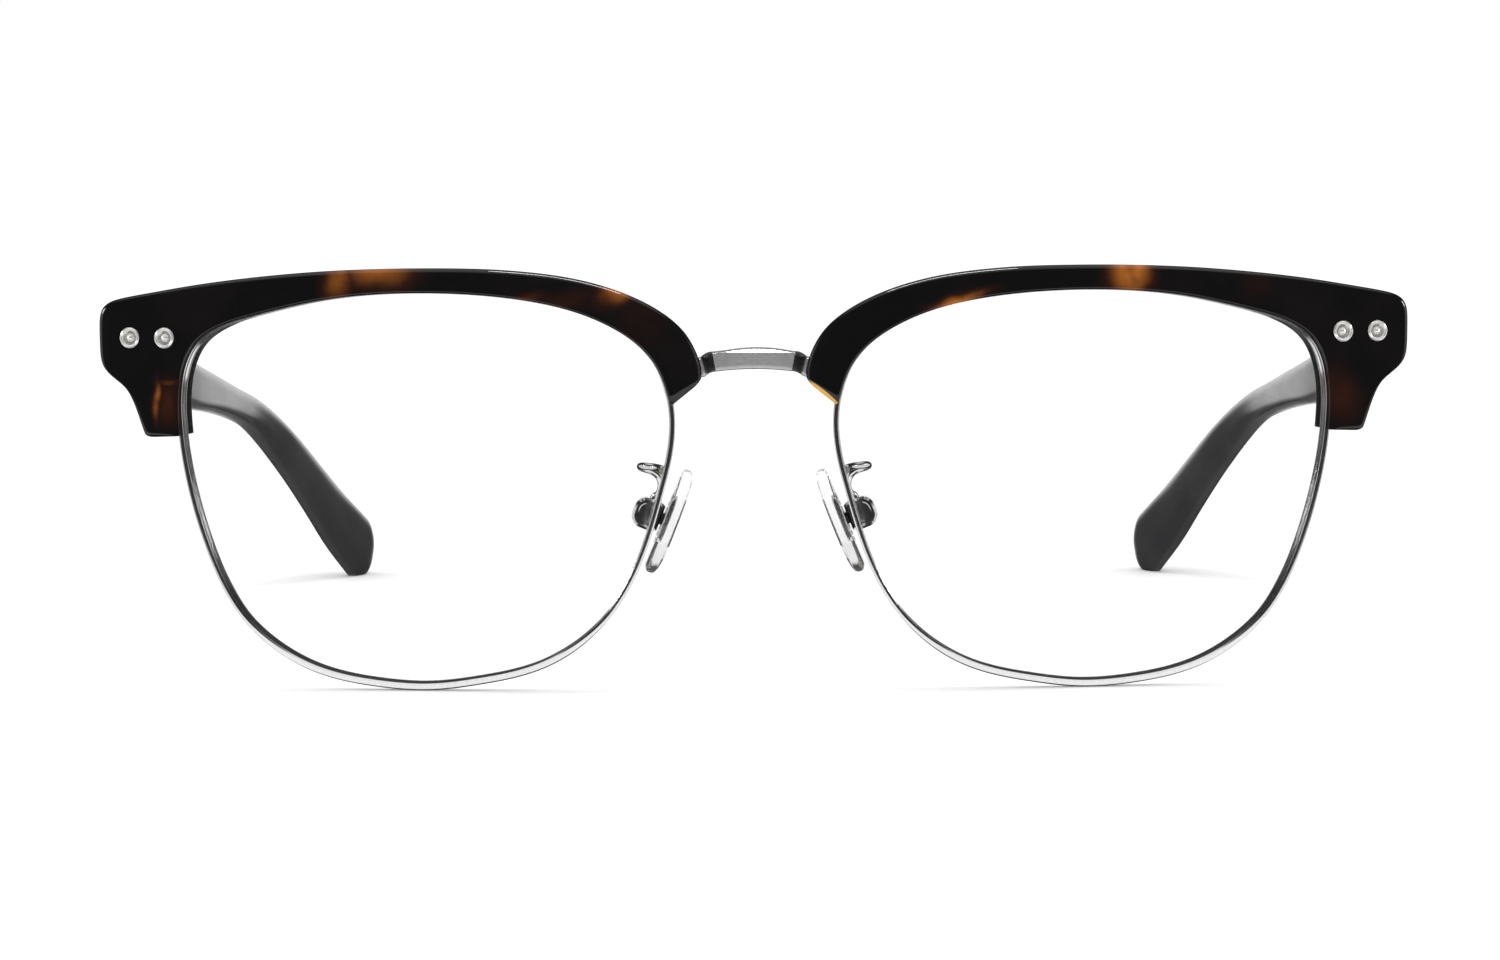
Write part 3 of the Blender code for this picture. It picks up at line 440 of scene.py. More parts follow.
# ---------------------------------------------------------------- materials
class Tree:
    """A material's nodes, made one call at a time."""

    def __init__(self, name):
        self.mat = bpy.data.materials.new(name)
        self.mat.use_nodes = True
        self.nodes = self.mat.node_tree.nodes
        self.links = self.mat.node_tree.links
        self.shader = self.nodes["Principled BSDF"]
        self.out = self.nodes["Material Output"]
        self.place = self.nodes.new("ShaderNodeTexCoord").outputs["Object"]

    def put(self, socket, value):
        if isinstance(value, bpy.types.NodeSocket):
            self.links.new(value, socket)
        else:
            socket.default_value = value

    def shade(self, **values):
        for name, value in values.items():
            self.put(self.shader.inputs[name.replace("_", " ")], value)

    def math(self, operation, *values, clamp=False):
        node = self.nodes.new("ShaderNodeMath")
        node.operation = operation
        node.use_clamp = clamp
        for socket, value in zip(node.inputs, values):
            self.put(socket, value)
        return node.outputs[0]

    def vector(self, operation, *values):
        node = self.nodes.new("ShaderNodeVectorMath")
        node.operation = operation
        for socket, value in zip(node.inputs, values):
            self.put(socket, value)
        return node.outputs["Value" if operation in ("LENGTH", "DISTANCE") else "Vector"]

    def noise(self, size_mm, detail=3.0, rough=0.5, where=None, distort=0.0):
        """Noise with features about size_mm across."""
        node = self.nodes.new("ShaderNodeTexNoise")
        node.inputs["Scale"].default_value = 1000 / size_mm
        node.inputs["Detail"].default_value = detail
        node.inputs["Roughness"].default_value = rough
        node.inputs["Distortion"].default_value = distort
        self.put(node.inputs["Vector"], where or self.place)
        return node

    def ramp(self, value, low, high, to_low=0.0, to_high=1.0):
        node = self.nodes.new("ShaderNodeMapRange")
        node.interpolation_type = "SMOOTHSTEP"
        for socket, v in zip(node.inputs, (value, low, high, to_low, to_high)):
            self.put(socket, v)
        return node.outputs[0]

    def mix(self, share, a, b):
        node = self.nodes.new("ShaderNodeMix")
        node.data_type = "RGBA"
        self.put(node.inputs[0], share)
        self.put(node.inputs[6], (*a, 1) if isinstance(a, tuple) else a)
        self.put(node.inputs[7], (*b, 1) if isinstance(b, tuple) else b)
        return node.outputs[2]

    def bump(self, height, depth_mm, strength=1.0):
        node = self.nodes.new("ShaderNodeBump")
        node.inputs["Strength"].default_value = strength
        node.inputs["Distance"].default_value = depth_mm / 1000
        self.put(node.inputs["Height"], height)
        self.put(self.shader.inputs["Normal"], node.outputs[0])


# Amber flecks in the dark sheet: centre (x, z), half sizes, tilt in degrees, strength; by side
AMBER = {
    "right": (
        ((-46.4, 46.9), (2.0, 3.4), 0, 0.55), ((-41.9, 47.6), (4.5, 2.4), 0, 0.62),
        ((-25.6, 44.0), (3.0, 0.8), 10, 0.40), ((-21.5, 43.6), (4.0, 1.2), 20, 0.22),
        ((-15.2, 45.2), (3.0, 1.8), 28, 0.62), ((-12.5, 41.5), (3.5, 3.0), 40, 0.10),
        ((-67.3, 32.9), (0.55, 2.6), 0, 0.62), ((-65.9, 35.0), (1.7, 0.5), 0, 0.35),
        ((-65.9, 32.6), (1.7, 2.9), 0, 0.30),
    ),
    "left": (
        ((23.0, 44.0), (4.0, 0.9), 14, 0.80), ((42.0, 47.4), (2.7, 3.6), 0, 0.80),
        ((56.4, 45.4), (1.8, 2.0), 0, 0.10), ((66.2, 32.8), (2.6, 3.4), 25, 0.26),
    ),
}
# Painted glow: bright amber base colour on the chamfer at the nasal end of one bar, standing in for
# light shining through the acetate there: centre, half sizes, tilt
PAINTED_GLOW = ((7.95, 33.38), (2.35, 0.34), -40)


def spot(t, place, centre, half, tilt, edge=(1.5, 0.1), strength=1.0):
    """A soft tilted ellipse on the front, as seen from ahead."""
    away = t.vector("SUBTRACT", place, (centre[0] / 1000, 0, centre[1] / 1000))
    turn = t.nodes.new("ShaderNodeVectorRotate")
    turn.rotation_type = "Y_AXIS"
    t.put(turn.inputs["Vector"], away)
    turn.inputs["Angle"].default_value = math.radians(tilt)
    scaled = t.vector("MULTIPLY", turn.outputs[0], (1000 / half[0], 0, 1000 / half[1]))
    return t.ramp(t.vector("LENGTH", scaled), edge[0], edge[1], 0.0, strength)


def tortoise(tag, flecks):
    """Polished tortoise acetate: near-black with soft amber clouds inside a clear gloss."""
    t = Tree(f"tortoise_{tag}")
    drift = t.vector("SUBTRACT", t.noise(5.0, 1.0).outputs["Color"], (0.5, 0.5, 0.5))
    place = t.vector("ADD", t.place, t.vector("MULTIPLY", drift, (0.0018, 0.0018, 0.0018)))
    total = t.math("ADD", 0.0, 0.0)
    for centre, half, tilt, strength in flecks:
        total = t.math("MAXIMUM", total, spot(t, place, centre, half, tilt, strength=strength))
    streak = t.noise(2.6, 2.0, 0.5).outputs["Fac"]
    cloud = t.math("MULTIPLY", total, t.ramp(streak, 0.25, 0.60, 0.72, 1.0))
    depth = t.noise(9.0, 2.0, 0.5).outputs["Fac"]
    dark = t.mix(t.ramp(depth, 0.40, 0.75), (0.0036, 0.0036, 0.0040), (0.0062, 0.0048, 0.0050))
    warm = t.mix(t.ramp(cloud, 0.15, 0.85), (0.060, 0.013, 0.0030), (0.40, 0.125, 0.018))
    colour = t.mix(cloud, dark, warm)
    # Painted glow: the left bar's nasal chamfer gets a bright amber base colour in place of light
    # coming through the acetate
    if tag == "left":
        painted_glow = spot(t, t.place, *PAINTED_GLOW, edge=(1.25, 0.75))
        colour = t.mix(painted_glow, colour, (0.62, 0.33, 0.055))
    t.shade(Base_Color=colour)
    wear = t.noise(0.5, 4.0, 0.6).outputs["Fac"]
    t.shade(Roughness=t.ramp(wear, 0.3, 0.8, 0.045, 0.09))
    t.shade(IOR=1.48, Specular_IOR_Level=0.42, Coat_Weight=0.2, Coat_Roughness=0.02)
    t.bump(t.noise(5.0, 1.0).outputs["Fac"], 0.004, 0.5)
    return t.mat


def temple_acetate():
    """Near-black acetate with a hand-buffed satin sheen."""
    t = Tree("temple_acetate")
    depth = t.noise(12.0, 3.0)
    t.shade(Base_Color=t.mix(t.ramp(depth.outputs["Fac"], 0.3, 0.75), (0.024, 0.024, 0.026),
                             (0.034, 0.033, 0.034)))
    buff = t.noise(0.9, 4.0, 0.6, t.vector("MULTIPLY", t.place, (1, 0.25, 1)))
    t.shade(Roughness=t.ramp(buff.outputs["Fac"], 0.3, 0.75, 0.17, 0.21))
    t.shade(IOR=1.49, Specular_IOR_Level=0.55, Coat_Weight=0.25, Coat_Roughness=0.15)
    t.bump(t.noise(0.6, 2.0).outputs["Fac"], 0.0015, 0.3)
    return t.mat


def metal(name, colour, rough, grain_mm=0.25, depth_mm=0.004, stretch=(1, 1, 1),
          metallic=1.0):
    """Bare metal with a fine grain in its roughness, colour and surface."""
    t = Tree(name)
    grain = t.noise(grain_mm, 4.0, 0.65, t.vector("MULTIPLY", t.place, stretch))
    shade = tuple(0.82 * c for c in colour)
    t.shade(Base_Color=t.mix(t.ramp(grain.outputs["Fac"], 0.3, 0.7), shade, colour))
    sheen = t.ramp(grain.outputs["Fac"], 0.25, 0.75, rough[0], rough[1])
    t.shade(Metallic=metallic, Roughness=sheen)
    t.bump(grain.outputs["Fac"], depth_mm, 0.5)
    return t.mat


def silicone():
    """Clear soft silicone, a little milky, with a moulded skin."""
    t = Tree("pad_silicone")
    milk = t.noise(1.6, 3.0)
    t.shade(Base_Color=t.mix(t.ramp(milk.outputs["Fac"], 0.3, 0.7), (0.80, 0.80, 0.795),
                             (0.88, 0.88, 0.875)))
    t.shade(Transmission_Weight=0.95, IOR=1.25)
    t.shade(Roughness=t.ramp(milk.outputs["Fac"], 0.3, 0.7, 0.04, 0.10))
    t.bump(t.noise(0.5, 2.0).outputs["Fac"], 0.006, 0.3)
    return t.mat


def lens_plastic():
    """Clear plano lens: what is behind it shows straight through a faint gloss."""
    t = Tree("lens_plastic")
    t.nodes.remove(t.shader)
    clear = t.nodes.new("ShaderNodeBsdfTransparent")
    clear.inputs["Color"].default_value = (0.998, 0.999, 0.998, 1)
    gloss = t.nodes.new("ShaderNodeBsdfGlossy")
    smear = t.noise(6.0, 3.0)
    t.put(gloss.inputs["Roughness"], t.ramp(smear.outputs["Fac"], 0.3, 0.8, 0.015, 0.04))
    facing = t.nodes.new("ShaderNodeLayerWeight").outputs["Facing"]
    rise = t.math("MULTIPLY_ADD", t.math("POWER", facing, 5.0), 0.7, 0.014)
    both = t.nodes.new("ShaderNodeMixShader")
    t.put(both.inputs[0], rise)
    t.put(both.inputs[1], clear.outputs[0])
    t.put(both.inputs[2], gloss.outputs[0])
    t.put(t.out.inputs["Surface"], both.outputs[0])
    return t.mat


# ---------------------------------------------------------------- the front
def eyewire():
    """A thin flat wire with a V groove for the lens, taller and bevelled at its foot."""
    half = (RIM_BACK - RIM_FRONT) / 2
    mid = (RIM_FRONT + RIM_BACK) / 2
    r = 0.12
    rings = []
    for a in even_angles(RIM_STATIONS):
        foot = min(max((FOOT_TOP - aperture(a).y) / FOOT_BLEND, 0), 1)
        foot = foot * foot * (3 - 2 * foot)
        inner = -FOOT_GROWTH * foot
        wide = RIM_WALL - inner
        section = [(inner, 0.35), (GROOVE, 0.0), (inner, -0.35), (inner, -half + 0.14)]
        for k in range(9):
            part = 0.05 + 0.8 * k / 8
            domed = CROWN_DEPTH * abs(2 * part - 1) ** 3
            sloped = FOOT_SLOPE * wide * max(part - FOOT_FLAT, 0)
            section.append((inner + wide * part, -half + (1 - foot) * domed + foot * sloped))
        section += [(RIM_WALL - 0.03, -half + CROWN_DEPTH + 0.06 * foot),
                    (RIM_WALL, -half + 0.14 + 0.10 * foot)]
        section += arc(RIM_WALL - r, half - r, r, 0, 90, 5)
        section += arc(inner + 0.05, half - 0.05, 0.05, 90, 180, 3)
        rings.append([])
        for out, y in section:
            p = aperture(a, out)
            rings[-1].append(wrap(p.x, mid + y, p.y))
    return loft(rings, closed=True)


def lens():
    """Both faces as rings of the opening's outline, joined by a V bevel that sits in the groove."""
    mid = (LENS_FRONT + LENS_BACK) / 2
    out = LENS_GAP + 0.02
    inner = [k / 12 for k in range(1, 12)]
    rows = [(s, 0, LENS_FRONT) for s in inner] + [(1, -out - 0.04, LENS_FRONT)]
    rows += [(1, -out, LENS_FRONT + 0.04), (1, -out, mid - 0.33), (1, LENS_BEVEL - 0.02, mid)]
    rows += [(1, -out, mid + 0.33), (1, -out, LENS_BACK - 0.04), (1, -out - 0.04, LENS_BACK)]
    rows += [(s, 0, LENS_BACK) for s in reversed(inner)]
    angles = even_angles(RIM_STATIONS)
    n = len(angles)
    points, faces = [], []
    for scale, grow, y in rows:
        for a in angles:
            p = aperture(a, grow)
            x = LENS_CENTRE[0] + scale * (p.x - LENS_CENTRE[0])
            z = LENS_CENTRE[1] + scale * (p.y - LENS_CENTRE[1])
            points.append(wrap(x, y, z))
    for i in range(len(rows) - 1):
        for k in range(n):
            m = (k + 1) % n
            faces.append((i * n + k, i * n + m, (i + 1) * n + m, (i + 1) * n + k))
    for start, y in ((0, LENS_FRONT), ((len(rows) - 1) * n, LENS_BACK)):
        points.append(wrap(LENS_CENTRE[0], y, LENS_CENTRE[1]))
        for k in range(n):
            faces.append((start + k, start + (k + 1) % n, len(points) - 1))
    return points, faces


def brow_ring(outer, inner, e):
    """The bar's section between an outer and an inner edge point, drawn in by e all round."""
    wide = (inner - outer).length
    along = (inner - outer) / wide
    r, f, d = BROW_EDGE_R, LIP_R, BROW_DEPTH
    lip_front, lip_back, floor = CHANNEL
    soft = 0.06
    rows = arc(e + r, e + r, r, 180, 270, 8)
    near, far = e + r, wide - e - f
    rows += [(near + (far - near) * k / 8, e) for k in range(1, 8)]
    rows += arc(far, e + f, f, -90, 0, 6)
    rows += [(wide - e, lip_front - soft), (wide - e - soft, lip_front), (wide - floor, lip_front)]
    rows += [(wide - floor, lip_back), (wide - e - soft, lip_back), (wide - e, lip_back + soft)]
    rows += arc(far, d - e - f, f, 0, 90, 6)
    rows += [(far + (near - far) * k / 8, d - e) for k in range(1, 8)]
    rows += arc(e + r, d - e - r, r, 90, 180, 8)
    ring = []
    for run, y in rows:
        p = outer + run * along
        ring.append(wrap(p.x, y, p.y))
    return ring


def brow_bar():
    rows = softened(open_curve([(x, z, a / 4) for x, z, a in BROW], BROW_STATIONS), 10)
    pairs = [(Vector(row[:2]), aperture(row[2] * 4)) for row in rows]
    starts = [0.0]
    for (a, _), (b, _) in zip(pairs, pairs[1:]):
        starts.append(starts[-1] + (b - a).length)
    total = starts[-1]
    ends = [END_R * (1 - math.cos(math.radians(90 * k / 9))) for k in range(9)]
    stops = ends + [s for s in starts if END_R <= s <= total - END_R]
    stops += [total - s for s in reversed(ends)]
    rings = []
    for s in stops:
        i = min(int(np.searchsorted(starts, s, side="right")) - 1, len(pairs) - 2)
        t = (s - starts[i]) / (starts[i + 1] - starts[i])
        outer = pairs[i][0].lerp(pairs[i + 1][0], t)
        inner = pairs[i][1].lerp(pairs[i + 1][1], t)
        short = max(END_R - min(s, total - s), 0)
        rings.append(brow_ring(outer, inner, END_R - math.sqrt(END_R**2 - short**2)))
    return loft(rings)


def bridge_ring(x):
    """The bridge's section: a flat front facet, then swept back behind the brow bars."""
    back = wrap(max(abs(x), BRIDGE_BEHIND), RIM_BACK + 0.16, BRIDGE_Z).y
    t = min(max((abs(x) - BRIDGE_FLAT) / (BRIDGE_BEHIND - BRIDGE_FLAT), 0), 1)
    front = FRONT_Y + BRIDGE_FRONT + (back - FRONT_Y - BRIDGE_FRONT) * math.sin(t * math.pi / 2)
    z = BRIDGE_Z - BRIDGE_LOWER + DROP_Z
    z += BRIDGE_RISE * (0.5 - (min(abs(x), 6.5) / BRIDGE_BEHIND) ** 2)
    z -= BRIDGE_DIP * t * t
    half, thick, c = BRIDGE_TALL / 2, BRIDGE_THICK, 0.2
    bulge = max(1 - ((x - 0.5) / 3.5) ** 2, 0)
    crown, lean, top = 0.01 + 0.36 * bulge, 0.16, half + 0.18 * bulge
    rows = arc(-half + c, c + lean, c, 180, 270, 4)
    low, high = -half + c, top - 0.2 - crown
    rows += [(low + (high - low) * k / 5, lean * (1 - k / 5)) for k in range(1, 6)]
    rows += [(high + crown, crown), (top, crown + 0.58)]
    rows += arc(half - 0.15 - c, thick - c, c, 0, 90, 4)
    rows += arc(-half + c, thick - c, c, 90, 180, 4)
    slant = math.copysign(0.22, x) * min(abs(x) / BRIDGE_FLAT, 1) / half
    return [Vector((x + slant * up, front + y, z + up)) for up, y in rows]


def bridge():
    half = np.linspace(0, BRIDGE_FLAT, 48).tolist()
    half += [BRIDGE_FLAT + (BRIDGE_BEHIND - BRIDGE_FLAT) * k / 16 for k in range(1, 17)]
    half += np.linspace(BRIDGE_BEHIND, BRIDGE_END - 0.25, 20).tolist()[1:]
    xs = [-x for x in reversed(half[1:])] + half
    return loft([bridge_ring(x) for x in xs])


def brow_screw_place():
    at = Vector((BRIDGE_SCREW[0], FRONT_Y, BRIDGE_SCREW[1] + DROP_Z))
    return facing_in(Matrix.Translation(at))


def rivet_spot(x, z):
    return facing_in(front_frame(x, 0, z))


def build_front(side, tag, mats):
    spots = [rivet_spot(x, z) for x, z in RIVETS]
    well = [(0, -1), (RIVET_HEAD_R + 0.02, -1), (RIVET_HEAD_R + 0.02, 0.5),
            (RIVET_SHANK_R + 0.05, 0.5), (RIVET_SHANK_R + 0.05, 7), (0, 7)]
    slot = box((5.0, RIM_BACK + 0.06, 35.2), (11.3, 6, 38.6))
    notch = box((65.35, 1.3, 26.5), (68.5, 6, 34.6))
    cuts = [([wrap(p.x, p.y, p.z) for p in tool[0]], tool[1]) for tool in (slot, notch)]
    cuts += [turned(rod(0.5, 3.3, 7), brow_screw_place(), 24)]
    cuts += [turned(well, spot) for spot in spots]
    add_piece(f"brow_shell_{tag}", f"brow_bar_{tag}", brow_bar(), side, "front",
              mats[f"tortoise_{tag}"], cuts=cuts)
    add_piece(f"rim_wire_{tag}", f"eyewire_{tag}", eyewire(), side, "front",
              mats["rim"], angle=40)
    add_piece(f"clear_lens_{tag}", f"lens_{tag}", lens(), side, "front",
              mats["lens"], angle=20)

    head = [(0, -0.12), (0.08, -0.11), (0.24, 0.0), (0.40, 0.13), (0.47, 0.26), (0.48, 0.49),
            (0.78, 0.49), (0.79, 0.16), (0.80, 0.06), (0.93, -0.10), (0.98, -0.13),
            (1.03, -0.12), (1.14, -0.01), (RIVET_HEAD_R, 0.08), (RIVET_HEAD_R, 0.45),
            (RIVET_SHANK_R, 0.45), (RIVET_SHANK_R, 5.3), (0.55, 5.42), (0, 5.42)]
    for k, spot in enumerate(spots):
        add_piece(f"front_rivet_{tag}_{k + 1}", f"end_rivet_{tag}_{k + 1}", turned(head, spot),
                  side, "front", mats["plated"], angle=50)

    screw = [(0, 3.45), (0.45, 3.45), (0.45, 5.85), (0.8, 5.85), (0.85, 5.9), (0.85, 6.1)]
    screw += [(0.85 * math.cos(a), 6.1 + 0.2 * math.sin(a)) for a in (0.4, 0.8, 1.2)]
    screw += [(0, 6.3)]
    cut = box((-1, -0.1, 6.12), (1, 0.1, 7), brow_screw_place())
    add_piece(f"bridge_screw_{tag}", f"brow_screw_{tag}", turned(screw, brow_screw_place(), 32),
              side, "front", mats["machined"], cuts=[cut])


def build_rim_lock(side, tag, mats):
    place = front_frame(*LOCK_AT)
    add_piece(f"closing_block_{tag}", f"rim_lock_{tag}",
              box((-1.22, -1.35, -2.45), (1.2, 1.35, 2.35), place), side, "front",
              mats["rim"], bevel=(0.14, 3),
              cuts=[box((-2, -2, -0.12), (2, 0.95, 0.12), place),
                    turned(rod(0.46, -3, 1.8), place, 32)])
    screw = [(0, -2.9), (0.55, -2.9), (0.7, -2.75), (0.7, -2.5), (0.4, -2.5), (0.4, 1.7), (0, 1.7)]
    add_piece(f"closing_screw_{tag}", f"rim_lock_screw_{tag}", turned(screw, place, 32), side,
              "front", mats["machined"],
              cuts=[box((-1, -0.09, -3.5), (1, 0.09, -2.76), place)])


# ---------------------------------------------------------------- the hinges
BARREL_R = 1.1
PIN_R = 0.5
PIN_GAP = 0.06
KNUCKLE_REACH = 1.9
KNUCKLES = ((36.2, 37.75), (37.82, 39.38), (39.45, 41.0))
PLATE_X = (-4.0, 3.9)
PLATE_Z = (-3.3, 3.1)


def knuckle(reach, step=32):
    """A barrel's plan with an arm out to y = reach on the hinge's own axes."""
    first, last = (0, 180) if reach < 0 else (180, 360)
    plan = arc(0, 0, BARREL_R, first, last, step)
    ends = [(-BARREL_R, reach), (BARREL_R, reach)]
    return plan + (ends if reach < 0 else list(reversed(ends)))


def hinge_axis():
    return Matrix.Translation((HINGE_X, HINGE_Y + FRONT_Y, DROP_Z))


def standing(plan, low, high, place):
    return loft([[place @ Vector((x, y, z)) for x, y in plan] for z in (low, high)])


def build_hinge(side, tag, mats):
    axis = hinge_axis()
    place = front_frame(PLATE_AT[0], BROW_DEPTH + PLATE_GAP, PLATE_AT[1])
    plan = rounded_rect(PLATE_X[1] - PLATE_X[0], PLATE_Z[1] - PLATE_Z[0], 0.9, 0.9, 8, 0)
    mid_x, mid_z = sum(PLATE_X) / 2, sum(PLATE_Z) / 2
    levels = ((0, 0), (0, PLATE_THICK - 0.12), (0.05, PLATE_THICK - 0.03), (0.14, PLATE_THICK))
    rings = []
    for e, y in levels:
        shrink_x = 1 - 2 * e / (PLATE_X[1] - PLATE_X[0])
        shrink_z = 1 - 2 * e / (PLATE_Z[1] - PLATE_Z[0])
        rings.append([place @ Vector((mid_x + x * shrink_x, y, mid_z + z * shrink_z))
                      for x, z in plan])
    joins = [standing(knuckle(-KNUCKLE_REACH), *KNUCKLES[k], axis) for k in (0, 2)]
    cuts = [turned(rod(PIN_R + PIN_GAP, 35, 42), axis, 40)]
    cuts += [turned(rod(RIVET_SHANK_R + 0.05, 3, 7), rivet_spot(x, z), 32) for x, z in RIVETS]
    add_piece(f"front_hinge_{tag}", f"hinge_plate_{tag}", loft(rings), side, "front",
              mats["satin"], joins=joins, cuts=cuts)

    screw = [(0, 36.25), (PIN_R - 0.1, 36.25), (PIN_R, 36.35), (PIN_R, 41.06), (0.9, 41.06),
             (0.95, 41.11), (0.95, 41.4), (0.9, 41.52), (0.75, 41.61), (0.5, 41.65), (0, 41.65)]
    add_piece(f"pivot_screw_{tag}", f"hinge_screw_{tag}", turned(screw, axis, 48), side, "front",
              mats["machined"],
              cuts=[box((-1.2, -0.11, 41.4), (1.2, 0.11, 42), axis)])


# ---------------------------------------------------------------- the temples
class Path:
    """The temple's centre line, with its height and thickness."""

    def __init__(self):
        rows = softened(open_curve(TEMPLE, 400), 60)
        self.at_all = [Vector((r[2], r[0] + FRONT_Y, r[1])) for r in rows]
        self.size_all = [(r[4], r[3], r[5], r[6]) for r in rows]

    def at(self, t):
        i = min(int(t * 399), 398)
        w = t * 399 - i
        here = self.at_all[i].lerp(self.at_all[i + 1], w)
        size = [(1 - w) * a + w * b for a, b in zip(self.size_all[i], self.size_all[i + 1])]
        low, high = max(i - 3, 0), min(i + 4, 399)
        along = (self.at_all[high] - self.at_all[low]).normalized()
        up = (Vector((0, 0, 1)) - along.z * along).normalized()
        return here, along, up.cross(along) * -1, up, size

    def ring(self, t, section):
        here, _, across, up, _ = self.at(t)
        return [here + x * across + z * up for x, z in section]


def butt_y(p, gap):
    """y of the temple's mitred front end, which follows the hinge plate's back."""
    m = front_frame(PLATE_AT[0], BROW_DEPTH + PLATE_GAP + PLATE_THICK + gap, PLATE_AT[1])
    n = m.col[1].to_3d()
    return ((m.translation - p).dot(n)) / n.y + p.y


def temple(path):
    """The temple round its wire's bore, with a mitred front end and a round tip."""
    inside, outside, tip = [], [], []
    bore = rounded_rect(*BORE, 0.3, 0.3)
    mouth = path.ring(0.0, bore)
    inside.append([Vector((p.x, butt_y(p, TEMPLE_GAP), p.z)) for p in mouth])
    for t in np.linspace(*BORE_AT).tolist():
        inside.append(path.ring(t, bore))
    wide, tall, rx, ry = path.at(0)[4]
    r = 0.25
    for a in (0, 30, 60, 90):
        e = r * (1 - math.sin(math.radians(a)))
        back = r * (1 - math.cos(math.radians(a)))
        ring = path.ring(0.0, rounded_rect(wide - 2 * e, tall - 2 * e, rx - 0.8 * e, ry - 0.8 * e))
        outside.append([Vector((p.x, butt_y(p, TEMPLE_GAP) + back, p.z)) for p in ring])
    for t in np.linspace(0, 1, TEMPLE_STATIONS).tolist()[2:]:
        outside.append(path.ring(t, rounded_rect(*path.at(t)[4])))
    here, along, across, up, (wide, tall, rx, ry) = path.at(1)
    for a in range(6, 87, 8):
        s = math.radians(a)
        thin, low = math.cos(s) ** 0.5, math.cos(s)
        section = rounded_rect(wide * thin, tall * low, rx * thin, ry * low)
        go = TEMPLE_TIP * math.sin(s)
        tip.append([here + go * along + x * across + z * up for x, z in section])
    points, faces = loft(list(reversed(inside)) + outside + tip)
    return [Vector((p.x, p.y, max(p.z, 0))) for p in points], faces


def core_wire(path):
    rings = []
    for t in np.linspace(*BORE_AT).tolist()[5:-2]:
        rings.append(path.ring(t, rounded_rect(1.2, 2.3, 0.25, 0.25, 4, 0)))
    return loft(rings)


LEAF = (15.3, 26.4, 68.40, 69.17, 4.4)
TEMPLE_RIVETS = (19.0, 23.6)
OUTER_X = 73.35


def build_temple(side, tag, mats, path):
    body = f"temple_{tag}"
    y0, y1, x0, x1, tall = LEAF
    here, along, _, _, _ = path.at(0.055)
    run = Vector((0, along.y, along.z))
    place = axes_at(Vector((0, here.y, here.z)), Vector((1, 0, 0)), run,
                    Vector((1, 0, 0)).cross(run))
    start, end = y0 + FRONT_Y - here.y, y1 + FRONT_Y - here.y
    plan = rounded_rect(end - start, tall, 0.9, 0.9, 8, 0)
    levels = ((x1, 0), (x0 + 0.1, 0), (x0 + 0.03, 0.05), (x0, 0.13))
    rings = []
    for x, e in levels:
        rings.append([place @ Vector((x, (start + end) / 2 + y * (1 - 2 * e / (end - start)),
                                      z * (1 - 2 * e / tall))) for y, z in plan])
    axis = hinge_axis()
    barrel = [(max(x, 0.0) if y > 1.2 else x, y) for x, y in knuckle(1.9)]
    spots = []
    for y in TEMPLE_RIVETS:
        at = path.at((y - TEMPLE[0][0]) / 138)[0]
        spots.append(axes_at(Vector((0, at.y, at.z)), Vector((0, 1, 0)), Vector((0, 0, 1)),
                             Vector((1, 0, 0))))
    cuts = [turned(rod(PIN_R + PIN_GAP, 35, 42), axis, 40)]
    cuts += [turned(rod(RIVET_SHANK_R + 0.05, 67, 70), spot, 32) for spot in spots]
    add_piece(f"temple_hinge_{tag}", f"hinge_leaf_{tag}", loft(rings), side, body,
              mats["satin"], joins=[standing(barrel, *KNUCKLES[1], axis)], cuts=cuts)

    head_r = RIVET_HEAD_R
    well = [(0, 68), (RIVET_SHANK_R + 0.05, 68), (RIVET_SHANK_R + 0.05, 72.9),
            (head_r + 0.02, 72.9), (head_r + 0.02, 75), (0, 75)]
    add_piece(f"temple_arm_{tag}", f"temple_{tag}", temple(path), side, body,
              mats["temple"], cuts=[turned(well, spot) for spot in spots])
    add_piece(f"stiffening_wire_{tag}", f"temple_core_{tag}", core_wire(path), side, body,
              mats["drawn"])
    head = [(0, 68.48), (RIVET_SHANK_R, 68.48), (RIVET_SHANK_R, 72.95), (head_r, 72.95),
            (head_r, OUTER_X - 0.05), (1.18, OUTER_X + 0.08), (1.1, OUTER_X + 0.15),
            (1.0, OUTER_X + 0.18), (0.9, OUTER_X + 0.13), (0.82, OUTER_X), (0.78, OUTER_X - 0.35),
            (0.5, OUTER_X - 0.35), (0.42, OUTER_X - 0.2), (0.25, OUTER_X - 0.08), (0, OUTER_X)]
    for k, spot in enumerate(spots):
        add_piece(f"side_rivet_{tag}_{k + 1}", f"temple_rivet_{tag}_{k + 1}", turned(head, spot),
                  side, body, mats["polished"], angle=50)


# ---------------------------------------------------------------- the nose pads
def pad_frame():
    """Axes along the pad, across it towards the back, and away from the nose."""
    lean, splay = math.radians(PAD_LEAN), math.radians(PAD_SPLAY)
    along = Vector((math.sin(lean), 0, -math.cos(lean)))
    away = Vector((math.cos(lean) * math.cos(splay), -math.sin(splay),
                   math.sin(lean) * math.cos(splay))).normalized()
    across = away.cross(along).normalized()
    return axes_at(Vector(PAD_AT) + Vector((0, FRONT_Y, DROP_Z)), along, across, away)


def pad_outline(scale_x, scale_y, count=88):
    """A blunt egg shape, narrower towards the top."""
    out = []
    for k in range(count):
        a = 2 * math.pi * k / count
        c, s = math.cos(a), math.sin(a)
        x, y = (math.copysign(abs(v) ** 0.85, v) for v in (c, s))
        out.append((scale_x * x, scale_y * y * (1 + 0.16 * c)))
    return out


